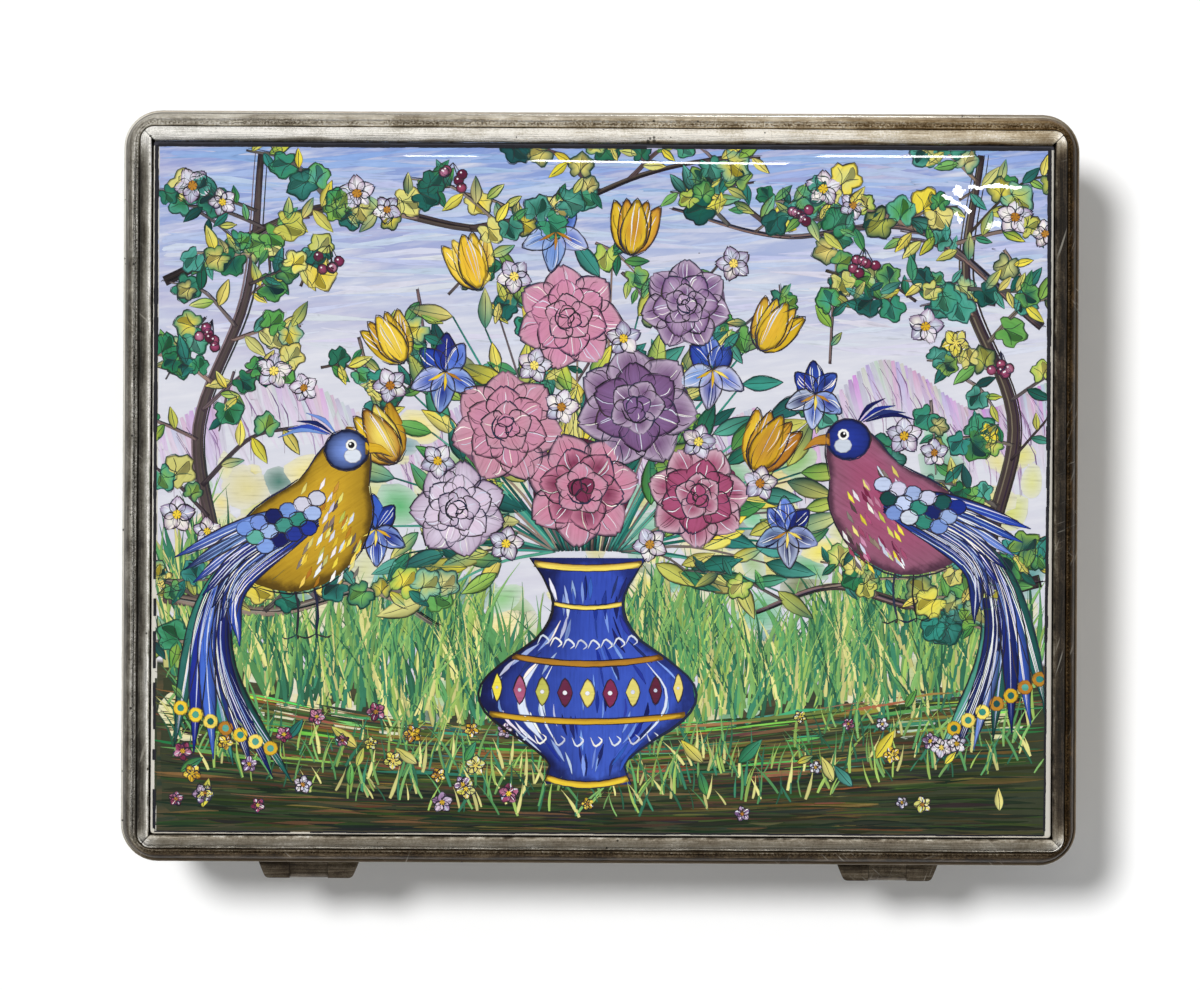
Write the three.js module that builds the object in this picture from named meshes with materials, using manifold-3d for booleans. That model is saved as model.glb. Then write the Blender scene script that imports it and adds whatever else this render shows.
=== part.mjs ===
// Silver table box for cigarettes, with an enamel plaque set in its hinged lid.
// Millimetres, +Z up. The origin is the middle of the underside, +X runs along the box,
// and the +Y edge of the lid lifts on two hinges behind the -Y wall.

import * as THREE from 'three';
import { mergeVertices } from 'three/addons/utils/BufferGeometryUtils.js';
import Module from 'manifold-3d';

const wasm = await Module();
wasm.setup();

// Outline of the lid, seen from above: every setback below is measured in from it
const boxLength = 140;
const boxWidth = 110;
const outlineCornerRadius = 5.5;
const leastCornerRadius = 0.1;

// Body: a base plate, a band soldered on it, and a quarter-round moulding in the corner outside
const basePlateThickness = 0.9;
const basePlateSetback = 0.2;
const wallSetback = 1.6;
const wallThickness = 0.9;
const bodyWallHeight = 28.1;
const baseMouldingSetback = 0.5;
const baseMouldingHeight = 2.1;
const baseMouldingFoot = 0.4;
const solderGap = 0.05;

// Lid: a band under a plate, and a gilt sheet inside
const partingGap = 0.3;
const lidWallHeight = 6.7;
const lidPlateThickness = 0.8;
const liningPlateThickness = 0.7;
const liningPlateClearance = 0.3;

// Frame on the lid: a bare lip, a moulding of a roll and a thin rib, then the bead of the bezel
const rimLip = 0.45;
const rimRollWidth = 1.3;
const rimRollHeight = 1.7;
const rimRollFoot = 0.4;
const rimValley = 0.05;
const rimRibWidth = 0.55;
const rimRibHeight = 1.1;
const rimRibFoot = 0.75;
const beadWidth = 1.85;
const beadHeight = 2.6;
const beadFoot = 1.675;
const beadOuterRadius = 2;
const beadInnerRadius = 0.15;
const mitreGap = 0.1;

// Plaque: curved enamel on copper over a sheet of card
const plaqueGap = 0.45;
const plaqueEdgeThickness = 1.1;
const plaqueEdgeDrop = 0.35;
const plaqueEdgeRound = 2.4;
const plaqueCrown = 0.35;
const packingThickness = 0.5;
const packingSetback = 0.6;

// Cedar lining: a floor and four mitred boards that rise into the lid, with a loose divider
const cedarClearance = 0.4;
const cedarFloorThickness = 2.5;
const cedarBoardThickness = 2.5;
const cedarRise = 4;
const dividerThickness = 2.5;
const dividerHeight = 28;
const dividerGrooveDepth = 1;
const dividerClearance = 0.15;

// Hinges: two leaves soldered to the walls, one knuckle on the lid between two on the body
const hingeEndDistance = 27.35;
const hingeLength = 15;
const leafHeight = 5;
const leafThickness = 0.7;
const knuckleRadius = 1.7;
const knuckleClearance = 0.2;
const lidKnuckleLength = 5.4;
const knuckleGap = 0.2;
const pinRadius = 0.7;
const boreClearance = 0.1;
const pinRecess = 0.25;
const pinChamfer = 0.2;
const endBevel = 1.1;
const endCornerRadius = 0.6;
const lidStopAngle = THREE.MathUtils.degToRad(105);
const stopGap = 0.05;

// Steps that round surfaces are drawn with
const cornerSteps = 8;
const mouldingSteps = 10;
const roundSteps = 24;
const plaqueStepsAlong = 28;
const plaqueStepsAcross = 22;

// Heights that follow from the sizes above
const bodyWallTop = basePlateThickness + bodyWallHeight;
const lidWallBottom = bodyWallTop + partingGap;
const lidPlateBottom = lidWallBottom + lidWallHeight;
const lidPlateTop = lidPlateBottom + lidPlateThickness;
const cedarFloorTop = basePlateThickness + cedarFloorThickness;

// Setbacks that follow from the sizes above
const wallInnerSetback = wallSetback + wallThickness;
const rimRibSetback = rimLip + rimRollWidth + rimValley;
const rimMouldingInner = rimRibSetback + rimRibWidth;
const beadSetback = rimMouldingInner + solderGap;
const plaqueSetback = beadSetback + beadWidth + plaqueGap;
const cedarSetback = wallInnerSetback + cedarClearance;
const cedarInnerSetback = cedarSetback + cedarBoardThickness;

// Hinge axis: the knuckle stands clear of the leaves, level with the parting line
const wallOuterY = boxWidth / 2 - wallSetback;
const leafReach = knuckleRadius + knuckleClearance;
const hingeAxisY = -(wallOuterY + leafThickness + leafReach);
const hingeAxisZ = bodyWallTop + partingGap / 2;

const silver = { color: '#9a9488', metalness: 1, roughness: 0.34 };
const gilt = { color: '#c9a45a', metalness: 1, roughness: 0.3 };
const cedar = { color: '#9c6340', metalness: 0, roughness: 0.75 };
const card = { color: '#cdbf9f', metalness: 0, roughness: 0.9 };
const enamel = { color: '#b9c6d6', metalness: 0, roughness: 0.12 };

// Named piece with a material of its own
function addPiece(group, name, geometry, finish, x = 0, y = 0, z = 0) {
  const mesh = new THREE.Mesh(geometry, new THREE.MeshStandardMaterial(finish));
  mesh.name = name;
  mesh.position.set(x, y, z);
  group.add(mesh);
  return mesh;
}

// Closed geometry as a solid that can be joined and cut
function solidFrom(geometry) {
  const bare = geometry.clone();
  bare.deleteAttribute('normal');
  bare.deleteAttribute('uv');
  const merged = mergeVertices(bare);
  const mesh = new wasm.Mesh({
    numProp: 3,
    vertProperties: Float32Array.from(merged.attributes.position.array),
    triVerts: Uint32Array.from(merged.index.array),
  });
  return new wasm.Manifold(mesh);
}

function geometryFrom(solid) {
  const mesh = solid.getMesh();
  const geometry = new THREE.BufferGeometry();
  geometry.setAttribute('position', new THREE.BufferAttribute(mesh.vertProperties, 3));
  geometry.setIndex(new THREE.BufferAttribute(mesh.triVerts, 1));
  geometry.computeVertexNormals();
  return geometry;
}

// Rectangle with rounded corners, anticlockwise from the middle of the +X side
function roundedRectangle(length, width, radius) {
  const points = [];
  const centreX = length / 2 - radius;
  const centreY = width / 2 - radius;
  const quadrants = [[1, 1], [-1, 1], [-1, -1], [1, -1]];
  quadrants.forEach(([signX, signY], corner) => {
    for (let step = 0; step <= cornerSteps; step += 1) {
      const angle = (corner + step / cornerSteps) * Math.PI / 2;
      const x = signX * centreX + radius * Math.cos(angle);
      const y = signY * centreY + radius * Math.sin(angle);
      points.push(new THREE.Vector2(x, y));
    }
  });
  return points;
}

// Corner radius of a loop that runs parallel to the lid's outline
function parallelRadius(setback) {
  return Math.max(outlineCornerRadius - setback, leastCornerRadius);
}

function outlineAt(setback, radius = parallelRadius(setback)) {
  return roundedRectangle(boxLength - 2 * setback, boxWidth - 2 * setback, radius);
}

function plate(points, thickness) {
  const shape = new THREE.Shape(points);
  return new THREE.ExtrudeGeometry(shape, { depth: thickness, bevelEnabled: false });
}

function band(outerPoints, innerPoints, height) {
  const shape = new THREE.Shape(outerPoints);
  shape.holes.push(new THREE.Path(innerPoints));
  return new THREE.ExtrudeGeometry(shape, { depth: height, bevelEnabled: false });
}

// Ring swept round the outline. Each profile point is a setback and a height, the profile
// climbs on the outer side and comes down on the inner side, and radiusAt gives each loop's corners.
function sweptRing(profile, radiusAt) {
  const loops = profile.map(([setback]) => outlineAt(setback, radiusAt(setback)));
  const loopLength = loops[0].length;
  const positions = [];
  loops.forEach((loop, level) => {
    loop.forEach((point) => positions.push(point.x, point.y, profile[level][1]));
  });
  const indices = [];
  for (let level = 0; level < loops.length; level += 1) {
    const nextLevel = (level + 1) % loops.length;
    for (let place = 0; place < loopLength; place += 1) {
      const nextPlace = (place + 1) % loopLength;
      const a = level * loopLength + place;
      const b = level * loopLength + nextPlace;
      const c = nextLevel * loopLength + nextPlace;
      const d = nextLevel * loopLength + place;
      indices.push(a, b, c, a, c, d);
    }
  }
  const geometry = new THREE.BufferGeometry();
  geometry.setAttribute('position', new THREE.Float32BufferAttribute(positions, 3));
  geometry.setIndex(indices);
  geometry.computeVertexNormals();
  return geometry;
}

// Half-round crest between two edges at the height of its foot, as profile points
function halfRound(setback, width, height, foot) {
  const crest = [];
  for (let step = 0; step <= mouldingSteps; step += 1) {
    const angle = Math.PI * step / mouldingSteps;
    const across = setback + width / 2 * (1 - Math.cos(angle));
    const up = foot + (height - foot) * Math.sin(angle);
    crest.push([across, up]);
  }
  return crest;
}

// Quarter-round section whose high side is the inner one
function quarterRoundProfile(setback, width, height, foot) {
  const profile = [[setback, 0]];
  for (let step = 0; step <= mouldingSteps; step += 1) {
    const angle = Math.PI / 2 * step / mouldingSteps;
    const across = setback + width * (1 - Math.cos(angle));
    const up = foot + (height - foot) * Math.sin(angle);
    profile.push([across, up]);
  }
  profile.push([setback + width, 0]);
  return profile;
}

// Corner radius that changes evenly between two setbacks
function radiusBetween(outerSetback, outerRadius, innerSetback, innerRadius) {
  return (setback) => {
    const share = (setback - outerSetback) / (innerSetback - outerSetback);
    return THREE.MathUtils.lerp(outerRadius, innerRadius, share);
  };
}

// One side of a ring, cut from it along the 45 degree lines through the outline's corners.
// turns is the number of right angles from the +Y side, anticlockwise.
function mitredSide(ring, turns, innerSetback, height) {
  const alongX = turns % 2 === 0;
  const halfLength = (alongX ? boxLength : boxWidth) / 2;
  const halfWidth = (alongX ? boxWidth : boxLength) / 2;
  const depth = innerSetback + mitreGap;
  const gap = mitreGap / Math.SQRT2;
  const trapezoid = [
    new THREE.Vector2(halfLength - gap, halfWidth),
    new THREE.Vector2(-halfLength + gap, halfWidth),
    new THREE.Vector2(-halfLength + depth + gap, halfWidth - depth),
    new THREE.Vector2(halfLength - depth - gap, halfWidth - depth),
  ];
  const wedge = plate(trapezoid, height + 2);
  wedge.translate(0, 0, -1);
  wedge.rotateZ(turns * Math.PI / 2);
  return ring.intersect(solidFrom(wedge));
}

function makeBody(root) {
  const body = new THREE.Group();
  root.add(body);

  addPiece(body, 'base_plate', plate(outlineAt(basePlateSetback), basePlateThickness), silver);

  const mouldingWidth = wallSetback - solderGap - baseMouldingSetback;
  const mouldingProfile = quarterRoundProfile(
    baseMouldingSetback, mouldingWidth, baseMouldingHeight, baseMouldingFoot,
  );
  const moulding = sweptRing(mouldingProfile, parallelRadius);
  addPiece(body, 'base_moulding', moulding, silver, 0, 0, basePlateThickness);

  const wall = band(outlineAt(wallSetback), outlineAt(wallInnerSetback), bodyWallHeight);
  addPiece(body, 'body_wall', wall, silver, 0, 0, basePlateThickness);

  makeCedarLining(body);
}

function makeCedarLining(body) {
  const floor = plate(outlineAt(cedarSetback), cedarFloorThickness);
  addPiece(body, 'cedar_floor', floor, cedar, 0, 0, basePlateThickness);

  // Boards with mitred corners, from the floor to a little above the parting line
  const boardHeight = bodyWallTop + cedarRise - cedarFloorTop;
  const insideLength = boxLength - 2 * cedarInnerSetback;
  const insideWidth = boxWidth - 2 * cedarInnerSetback;
  const inside = roundedRectangle(insideLength, insideWidth, leastCornerRadius);
  const frame = solidFrom(band(outlineAt(cedarSetback), inside, boardHeight));

  // Groove across the middle of both long boards, open at the top for the divider
  const grooveWidth = dividerThickness + 2 * dividerClearance;
  const grooveSpan = insideWidth + 2 * dividerGrooveDepth;
  const groove = new THREE.BoxGeometry(grooveWidth, grooveSpan, boardHeight + 2);
  groove.translate(0, 0, boardHeight / 2);
  const groovedFrame = frame.subtract(solidFrom(groove));

  const boards = ['cedar_board_front', 'cedar_board_left', 'cedar_board_back', 'cedar_board_right'];
  boards.forEach((name, turns) => {
    const board = mitredSide(groovedFrame, turns, cedarInnerSetback, boardHeight);
    addPiece(body, name, geometryFrom(board), cedar, 0, 0, cedarFloorTop);
  });

  const dividerSpan = grooveSpan - 2 * dividerClearance;
  const divider = new THREE.BoxGeometry(dividerThickness, dividerSpan, dividerHeight);
  addPiece(body, 'cedar_divider', divider, cedar, 0, 0, cedarFloorTop + dividerHeight / 2);
}

function makeLid(root) {
  const lid = new THREE.Group();
  root.add(lid);

  const wall = band(outlineAt(wallSetback), outlineAt(wallInnerSetback), lidWallHeight);
  addPiece(lid, 'lid_wall', wall, silver, 0, 0, lidWallBottom);
  addPiece(lid, 'lid_plate', plate(outlineAt(0), lidPlateThickness), silver, 0, 0, lidPlateBottom);

  const liningSetback = wallInnerSetback + liningPlateClearance;
  const lining = plate(outlineAt(liningSetback), liningPlateThickness);
  addPiece(lid, 'lid_lining_plate', lining, gilt, 0, 0, lidPlateBottom - liningPlateThickness);

  makeLidFrame(lid);
  makePlaque(lid);
}

function makeLidFrame(lid) {
  // The moulding follows the lid's rounded corners outside and the bead's tight ones inside
  const mouldingProfile = [
    [rimLip, 0],
    ...halfRound(rimLip, rimRollWidth, rimRollHeight, rimRollFoot),
    ...halfRound(rimRibSetback, rimRibWidth, rimRibHeight, rimRibFoot),
    [rimMouldingInner, 0],
  ];
  const mouldingRadius = radiusBetween(
    rimLip, parallelRadius(rimLip), rimMouldingInner, beadOuterRadius + solderGap,
  );
  const moulding = sweptRing(mouldingProfile, mouldingRadius);
  addPiece(lid, 'lid_rim_moulding', moulding, silver, 0, 0, lidPlateTop);

  // The bead is four strips, mitred where they meet
  const beadInner = beadSetback + beadWidth;
  const beadProfile = [
    [beadSetback, 0],
    ...halfRound(beadSetback, beadWidth, beadHeight, beadFoot),
    [beadInner, 0],
  ];
  const beadRadius = radiusBetween(beadSetback, beadOuterRadius, beadInner, beadInnerRadius);
  const bead = solidFrom(sweptRing(beadProfile, beadRadius));
  const strips = ['bezel_bead_top', 'bezel_bead_left', 'bezel_bead_bottom', 'bezel_bead_right'];
  strips.forEach((name, turns) => {
    const strip = mitredSide(bead, turns, beadInner, beadHeight);
    addPiece(lid, name, geometryFrom(strip), silver, 0, 0, lidPlateTop);
  });
}

function makePlaque(lid) {
  const length = boxLength - 2 * plaqueSetback;
  const width = boxWidth - 2 * plaqueSetback;
  const packing = new THREE.BoxGeometry(
    length - 2 * packingSetback, width - 2 * packingSetback, packingThickness,
  );
  addPiece(lid, 'plaque_packing', packing, card, 0, 0, lidPlateTop + packingThickness / 2);

  // The face swells to a shallow crown and turns down at all four edges, where the mesh is finest
  const shoulderHeight = plaqueEdgeThickness + plaqueEdgeDrop;
  const plaque = new THREE.BoxGeometry(2, 2, 1, plaqueStepsAlong, plaqueStepsAcross, 1);
  const position = plaque.attributes.position;
  for (let index = 0; index < position.count; index += 1) {
    const along = Math.sin(position.getX(index) * Math.PI / 2);
    const across = Math.sin(position.getY(index) * Math.PI / 2);
    const fallAlong = edgeFall((1 - Math.abs(along)) * length / 2);
    const fallAcross = edgeFall((1 - Math.abs(across)) * width / 2);
    const fall = plaqueEdgeDrop * (fallAlong + fallAcross - fallAlong * fallAcross);
    const crown = plaqueCrown * (1 - along ** 2) * (1 - across ** 2);
    const height = position.getZ(index) > 0 ? shoulderHeight + crown - fall : 0;
    position.setXYZ(index, along * length / 2, across * width / 2, height);
  }
  plaque.computeVertexNormals();
  addPiece(lid, 'enamel_plaque', plaque, enamel, 0, 0, lidPlateTop + packingThickness);
}

// Share of the edge's drop at a distance in from it: a quarter round
function edgeFall(distance) {
  const share = Math.max(1 - distance / plaqueEdgeRound, 0);
  return 1 - Math.sqrt(1 - share ** 2);
}

// Sections of the hinge are drawn looking along it: across is towards the box, up is +Z,
// and the axis is the origin. extrudeAlong lays a section along X, centred on centreX.
function extrudeAlong(section, length, centreX) {
  const options = { depth: length, bevelEnabled: false, curveSegments: roundSteps };
  const geometry = new THREE.ExtrudeGeometry(section, options);
  geometry.translate(0, 0, -length / 2);
  const acrossToY = new THREE.Vector3(0, 1, 0);
  const upToZ = new THREE.Vector3(0, 0, 1);
  const depthToX = new THREE.Vector3(1, 0, 0);
  geometry.applyMatrix4(new THREE.Matrix4().makeBasis(acrossToY, upToZ, depthToX));
  geometry.translate(centreX, 0, 0);
  return solidFrom(geometry);
}

function boreHole() {
  const bore = new THREE.Path();
  bore.absarc(0, 0, pinRadius + boreClearance, 0, 2 * Math.PI, true);
  return bore;
}

// The web joins knuckle and leaf, and ends inside the leaf's thickness
const webReach = leafReach + leafThickness / 2;
const webGap = partingGap / 2;

function lidKnuckleSection() {
  const section = new THREE.Shape();
  section.moveTo(webReach, webGap);
  section.lineTo(webReach, knuckleRadius);
  section.lineTo(0, knuckleRadius);
  section.absarc(0, 0, knuckleRadius, Math.PI / 2, 2 * Math.PI + Math.asin(webGap / knuckleRadius));
  section.holes.push(boreHole());
  return section;
}

// The body's knuckles carry a heel behind the axis, which the open lid's leaf lands on
function bodyKnuckleSection() {
  const heelDistance = leafReach - stopGap;
  const heelCos = Math.cos(lidStopAngle);
  const heelSin = Math.sin(lidStopAngle);
  const heelTop = (heelDistance + knuckleRadius * heelCos) / heelSin;
  const section = new THREE.Shape();
  section.moveTo(webReach, -webGap);
  section.absarc(0, 0, knuckleRadius, -Math.asin(webGap / knuckleRadius), lidStopAngle);
  section.lineTo(heelDistance * heelCos, heelDistance * heelSin);
  section.lineTo(-knuckleRadius, heelTop);
  section.lineTo(-knuckleRadius, 0);
  section.absarc(0, 0, knuckleRadius, Math.PI, 1.5 * Math.PI);
  section.lineTo(webReach, -knuckleRadius);
  section.holes.push(boreHole());
  return section;
}

function leafSection(up) {
  const section = new THREE.Shape();
  section.moveTo(leafReach, up);
  section.lineTo(leafReach + leafThickness, up);
  section.lineTo(leafReach + leafThickness, up + leafHeight);
  section.lineTo(leafReach, up + leafHeight);
  return section;
}

// Plan of a hinge: full length as far as the lid's outline, then bevelled to its outer face
const bevelStart = -boxWidth / 2 - hingeAxisY;
const bevelDepth = bevelStart + knuckleRadius;

function hingePlan() {
  const half = hingeLength / 2;
  const behind = leafReach + leafThickness + 1;
  const outerHalf = half - endBevel;
  const bevelLength = Math.hypot(endBevel, bevelDepth);
  const backX = outerHalf + endCornerRadius * endBevel / bevelLength;
  const backY = -knuckleRadius + endCornerRadius * bevelDepth / bevelLength;
  const plan = new THREE.Shape();
  plan.moveTo(half, behind);
  plan.lineTo(-half, behind);
  plan.lineTo(-half, bevelStart);
  plan.lineTo(-backX, backY);
  plan.quadraticCurveTo(-outerHalf, -knuckleRadius, -outerHalf + endCornerRadius, -knuckleRadius);
  plan.lineTo(outerHalf - endCornerRadius, -knuckleRadius);
  plan.quadraticCurveTo(outerHalf, -knuckleRadius, backX, backY);
  plan.lineTo(half, bevelStart);
  const height = 4 * leafHeight;
  const options = { depth: height, bevelEnabled: false, curveSegments: 4 };
  const prism = new THREE.ExtrudeGeometry(plan, options);
  prism.translate(0, 0, -height / 2);
  return solidFrom(prism);
}

function makeHinge(root, name, centreX) {
  const hinge = new THREE.Group();
  hinge.position.set(centreX, hingeAxisY, hingeAxisZ);
  root.add(hinge);
  const plan = hingePlan();

  const lidLeaf = extrudeAlong(leafSection(webGap), hingeLength, 0)
    .add(extrudeAlong(lidKnuckleSection(), lidKnuckleLength, 0))
    .intersect(plan);
  addPiece(hinge, `${name}_lid_leaf`, geometryFrom(lidLeaf), silver);

  const bodyKnuckleLength = (hingeLength - lidKnuckleLength) / 2 - knuckleGap;
  const bodyKnuckleX = (hingeLength - bodyKnuckleLength) / 2;
  const bodyLeaf = extrudeAlong(leafSection(-webGap - leafHeight), hingeLength, 0)
    .add(extrudeAlong(bodyKnuckleSection(), bodyKnuckleLength, -bodyKnuckleX))
    .add(extrudeAlong(bodyKnuckleSection(), bodyKnuckleLength, bodyKnuckleX))
    .intersect(plan);
  addPiece(hinge, `${name}_body_leaf`, geometryFrom(bodyLeaf), silver);

  // The pin ends just inside the bevelled ends of the knuckles
  const bevelAtPin = endBevel * (bevelStart + pinRadius) / bevelDepth;
  const pinHalf = hingeLength / 2 - bevelAtPin - pinRecess;
  const pinProfile = [
    new THREE.Vector2(0, -pinHalf),
    new THREE.Vector2(pinRadius - pinChamfer, -pinHalf),
    new THREE.Vector2(pinRadius, -pinHalf + pinChamfer),
    new THREE.Vector2(pinRadius, pinHalf - pinChamfer),
    new THREE.Vector2(pinRadius - pinChamfer, pinHalf),
    new THREE.Vector2(0, pinHalf),
  ];
  const pin = new THREE.LatheGeometry(pinProfile, roundSteps);
  pin.rotateZ(Math.PI / 2);
  addPiece(hinge, `${name}_pin`, pin, silver);
}

const group = new THREE.Group();
makeBody(group);
makeLid(group);
const hingeX = boxLength / 2 - hingeEndDistance;
makeHinge(group, 'hinge_left', -hingeX);
makeHinge(group, 'hinge_right', hingeX);

export default group;
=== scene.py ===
import math
import random

import bmesh
import bpy
import numpy as np
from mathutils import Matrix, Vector, noise


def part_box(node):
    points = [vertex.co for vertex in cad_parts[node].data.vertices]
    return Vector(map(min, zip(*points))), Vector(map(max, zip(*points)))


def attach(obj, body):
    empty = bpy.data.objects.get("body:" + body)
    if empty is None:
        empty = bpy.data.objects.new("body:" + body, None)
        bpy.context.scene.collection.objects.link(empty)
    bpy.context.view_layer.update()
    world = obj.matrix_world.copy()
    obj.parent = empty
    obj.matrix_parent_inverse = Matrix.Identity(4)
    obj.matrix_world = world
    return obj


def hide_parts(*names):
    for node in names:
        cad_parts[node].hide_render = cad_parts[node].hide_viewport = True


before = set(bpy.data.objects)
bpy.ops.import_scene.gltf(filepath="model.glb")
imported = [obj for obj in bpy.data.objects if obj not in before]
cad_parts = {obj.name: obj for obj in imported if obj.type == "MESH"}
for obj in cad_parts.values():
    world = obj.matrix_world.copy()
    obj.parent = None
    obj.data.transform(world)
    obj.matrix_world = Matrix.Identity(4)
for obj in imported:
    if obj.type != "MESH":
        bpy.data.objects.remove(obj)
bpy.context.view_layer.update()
print("frame loaded:", len(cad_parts), "nodes")

mm = 0.001
boxHalf = (70, 55)  # half length and half width of the lid, in mm
lidTop = 36.8       # top of the lid's sheet
shape = {"outerRadius": 5.5, "beadOuterRadius": 2.0, "beadInnerRadius": 0.2}


def tone(red, green, blue):
    # A colour given 0 to 255, turned into Blender's linear values
    return tuple((c / 255 / 12.92) if c / 255 <= 0.04045 else ((c / 255 + 0.055) / 1.055) ** 2.4
                 for c in (red, green, blue)) + (1.0,)


def addNode(tree, kind, inputs=None, **settings):
    # An input that is another node's output is linked, any other one is set
    node = tree.nodes.new(kind)
    for key, value in settings.items():
        setattr(node, key, value)
    for key, value in (inputs or {}).items():
        if isinstance(value, bpy.types.NodeSocket):
            tree.links.new(value, node.inputs[key])
        else:
            node.inputs[key].default_value = value
    return node


def treeOf(*values):
    # The node tree that the first socket among the values belongs to
    return next(value.id_data for value in values if isinstance(value, bpy.types.NodeSocket))


def maths(operation, first, second, clamp=False):
    return addNode(treeOf(first, second), "ShaderNodeMath", {0: first, 1: second}, operation=operation,
                   use_clamp=clamp).outputs[0]


def plus(first, second, clamp=False):
    return maths("ADD", first, second, clamp)


def minus(first, second, clamp=False):
    return maths("SUBTRACT", first, second, clamp)


def times(first, second, clamp=False):
    return maths("MULTIPLY", first, second, clamp)


def blendColour(share, low, high, kind="MIX"):
    return addNode(treeOf(share, low, high), "ShaderNodeMix", {0: share, 6: low, 7: high},
                   data_type="RGBA", blend_type=kind).outputs[2]


def rescale(value, low, high, toLow=0.0, toHigh=1.0, smooth=False):
    return addNode(value.id_data, "ShaderNodeMapRange", {0: value, 1: low, 2: high, 3: toLow, 4: toHigh},
                   interpolation_type="SMOOTHSTEP" if smooth else "LINEAR").outputs[0]


def stretched(vector, scale, turn=0.0, shift=(0, 0, 0)):
    # Texture mapping turns first and scales after, so that the long way of the grain turns too
    return addNode(vector.id_data, "ShaderNodeMapping", {
        "Vector": vector, "Scale": tuple(1 / c for c in scale), "Location": shift, "Rotation": (0, 0, turn)},
        vector_type="TEXTURE").outputs[0]


def speckle(vector, scale, detail=3.0, roughness=0.55):
    return addNode(vector.id_data, "ShaderNodeTexNoise", {
        "Vector": vector, "Scale": scale, "Detail": detail, "Roughness": roughness}).outputs["Fac"]


def newGroup(name, inputs, outputs):
    group = bpy.data.node_groups.new(name, "ShaderNodeTree")
    for label, kind, value in inputs:
        socket = group.interface.new_socket(label, in_out="INPUT", socket_type="NodeSocket" + kind)
        if value is not None:
            socket.default_value = value
    for label, kind in outputs:
        group.interface.new_socket(label, in_out="OUTPUT", socket_type="NodeSocket" + kind)
    return group, group.nodes.new("NodeGroupInput").outputs, group.nodes.new("NodeGroupOutput").inputs


def useGroup(group, inputs):
    return addNode(treeOf(*inputs.values()), "ShaderNodeGroup", inputs, node_tree=group).outputs


def newMaterial(name, **constants):
    # Numbers that are the same all over the surface go straight onto the shader's own sockets
    material = bpy.data.materials.new(name)
    material.use_nodes = True
    tree = material.node_tree
    shader = tree.nodes["Principled BSDF"]
    for key, value in constants.items():
        shader.inputs[key.replace("_", " ")].default_value = value
    return material, tree, shader.inputs


def link(output, target):
    output.id_data.links.new(output, target)


def emboss(shader, height, strength, distance=0.0001):
    bump = addNode(height.id_data, "ShaderNodeBump", {"Height": height, "Strength": strength,
                                                      "Distance": distance})
    link(bump.outputs[0], shader["Normal"])


def giveMaterial(mesh, material):
    mesh.materials.clear()
    mesh.materials.append(material)


def makeStreaks():
    # Fine lines along a drawn or brushed piece: U runs along it in mm, V across it
    tree, given, result = newGroup("drawn streaks", [
        ("Vector", "Vector", None), ("Per mm along", "Float", 0.12), ("Per mm across", "Float", 9.0)],
        [("Value", "Float")])
    scale = addNode(tree, "ShaderNodeCombineXYZ",
                    {0: given["Per mm along"], 1: given["Per mm across"], 2: 1.0})
    placed = addNode(tree, "ShaderNodeVectorMath", {0: given["Vector"], 1: scale.outputs[0]},
                     operation="MULTIPLY").outputs[0]
    link(speckle(placed, 1.0, 4.0, 0.6), result["Value"])
    return tree


def makeTarnish():
    # Silver from bright to nearly black, in patches and flecks; Warmth turns the grey towards brown
    tree, given, result = newGroup("tarnishAndShade", [
        ("Vector", "Vector", None), ("Amount", "Float", 0.4), ("Warmth", "Float", 0.5),
        ("Patches", "Float", 0.3), ("Flecks", "Float", 0.25), ("Per mm", "Float", 0.25),
        ("Smoothest", "Float", 0.24)],
        [("Colour", "Color"), ("Mask", "Float"), ("Metallic", "Float"), ("Roughness", "Float")])
    perMetre = times(given["Per mm"], 1000.0)
    patch = minus(speckle(given["Vector"], perMetre, 5.0, 0.6), 0.5)
    fine = minus(speckle(given["Vector"], times(perMetre, 14.0), 3.0, 0.7), 0.5)
    level = plus(given["Amount"], times(patch, times(given["Patches"], 4.0)))
    level = plus(level, times(fine, times(given["Flecks"], 3.0)), clamp=True)
    ramps = []
    for shades in (((244, 243, 239), (206, 205, 199), (158, 157, 150), (112, 110, 102), (66, 63, 57),
                    (22, 21, 19)),
                   ((246, 240, 228), (216, 202, 176), (168, 148, 116), (122, 99, 66), (78, 57, 29),
                    (34, 24, 10))):
        ramp = addNode(tree, "ShaderNodeValToRGB", {"Fac": level})
        stops = ramp.color_ramp.elements
        stops[1].position = 1.0
        for i, shade in enumerate(shades):
            stop = stops[0] if i == 0 else stops[len(stops) - 1] if i == 5 else stops.new(0.2 * i)
            stop.color = tone(*shade)
        ramps.append(ramp.outputs[0])
    link(blendColour(given["Warmth"], ramps[0], ramps[1]), result["Colour"])
    link(level, result["Mask"])
    link(rescale(level, 0.35, 1.0, 1.0, 0.5), result["Metallic"])
    link(rescale(level, 0.0, 1.0, given["Smoothest"], 0.55), result["Roughness"])
    return tree


def makeScratches():
    # Hairline scratches in three directions, as bright or dark marks
    tree, given, result = newGroup("hairline scratches", [
        ("Vector", "Vector", None), ("Fineness", "Float", 1.0), ("Share", "Float", 0.3)], [("Mask", "Float")])
    total = None
    for turn, shift in ((0.35, 0.0), (1.25, 0.7), (2.4, 1.9)):
        placed = stretched(given["Vector"], (160, 2600, 160), turn, (shift, shift, 0))
        grain = addNode(tree, "ShaderNodeTexNoise", {"Vector": placed, "Scale": given["Fineness"],
                                                     "Detail": 1.0}).outputs["Fac"]
        line = rescale(grain, 0.66, 0.71)
        here = speckle(stretched(given["Vector"], (90, 90, 90), 0, (shift, 0, 0)), 1.0, 1.0)
        line = times(line, rescale(here, 0.56, 0.68))
        total = line if total is None else maths("MAXIMUM", total, line)
    link(times(total, given["Share"], clamp=True), result["Mask"])
    return tree


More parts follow.
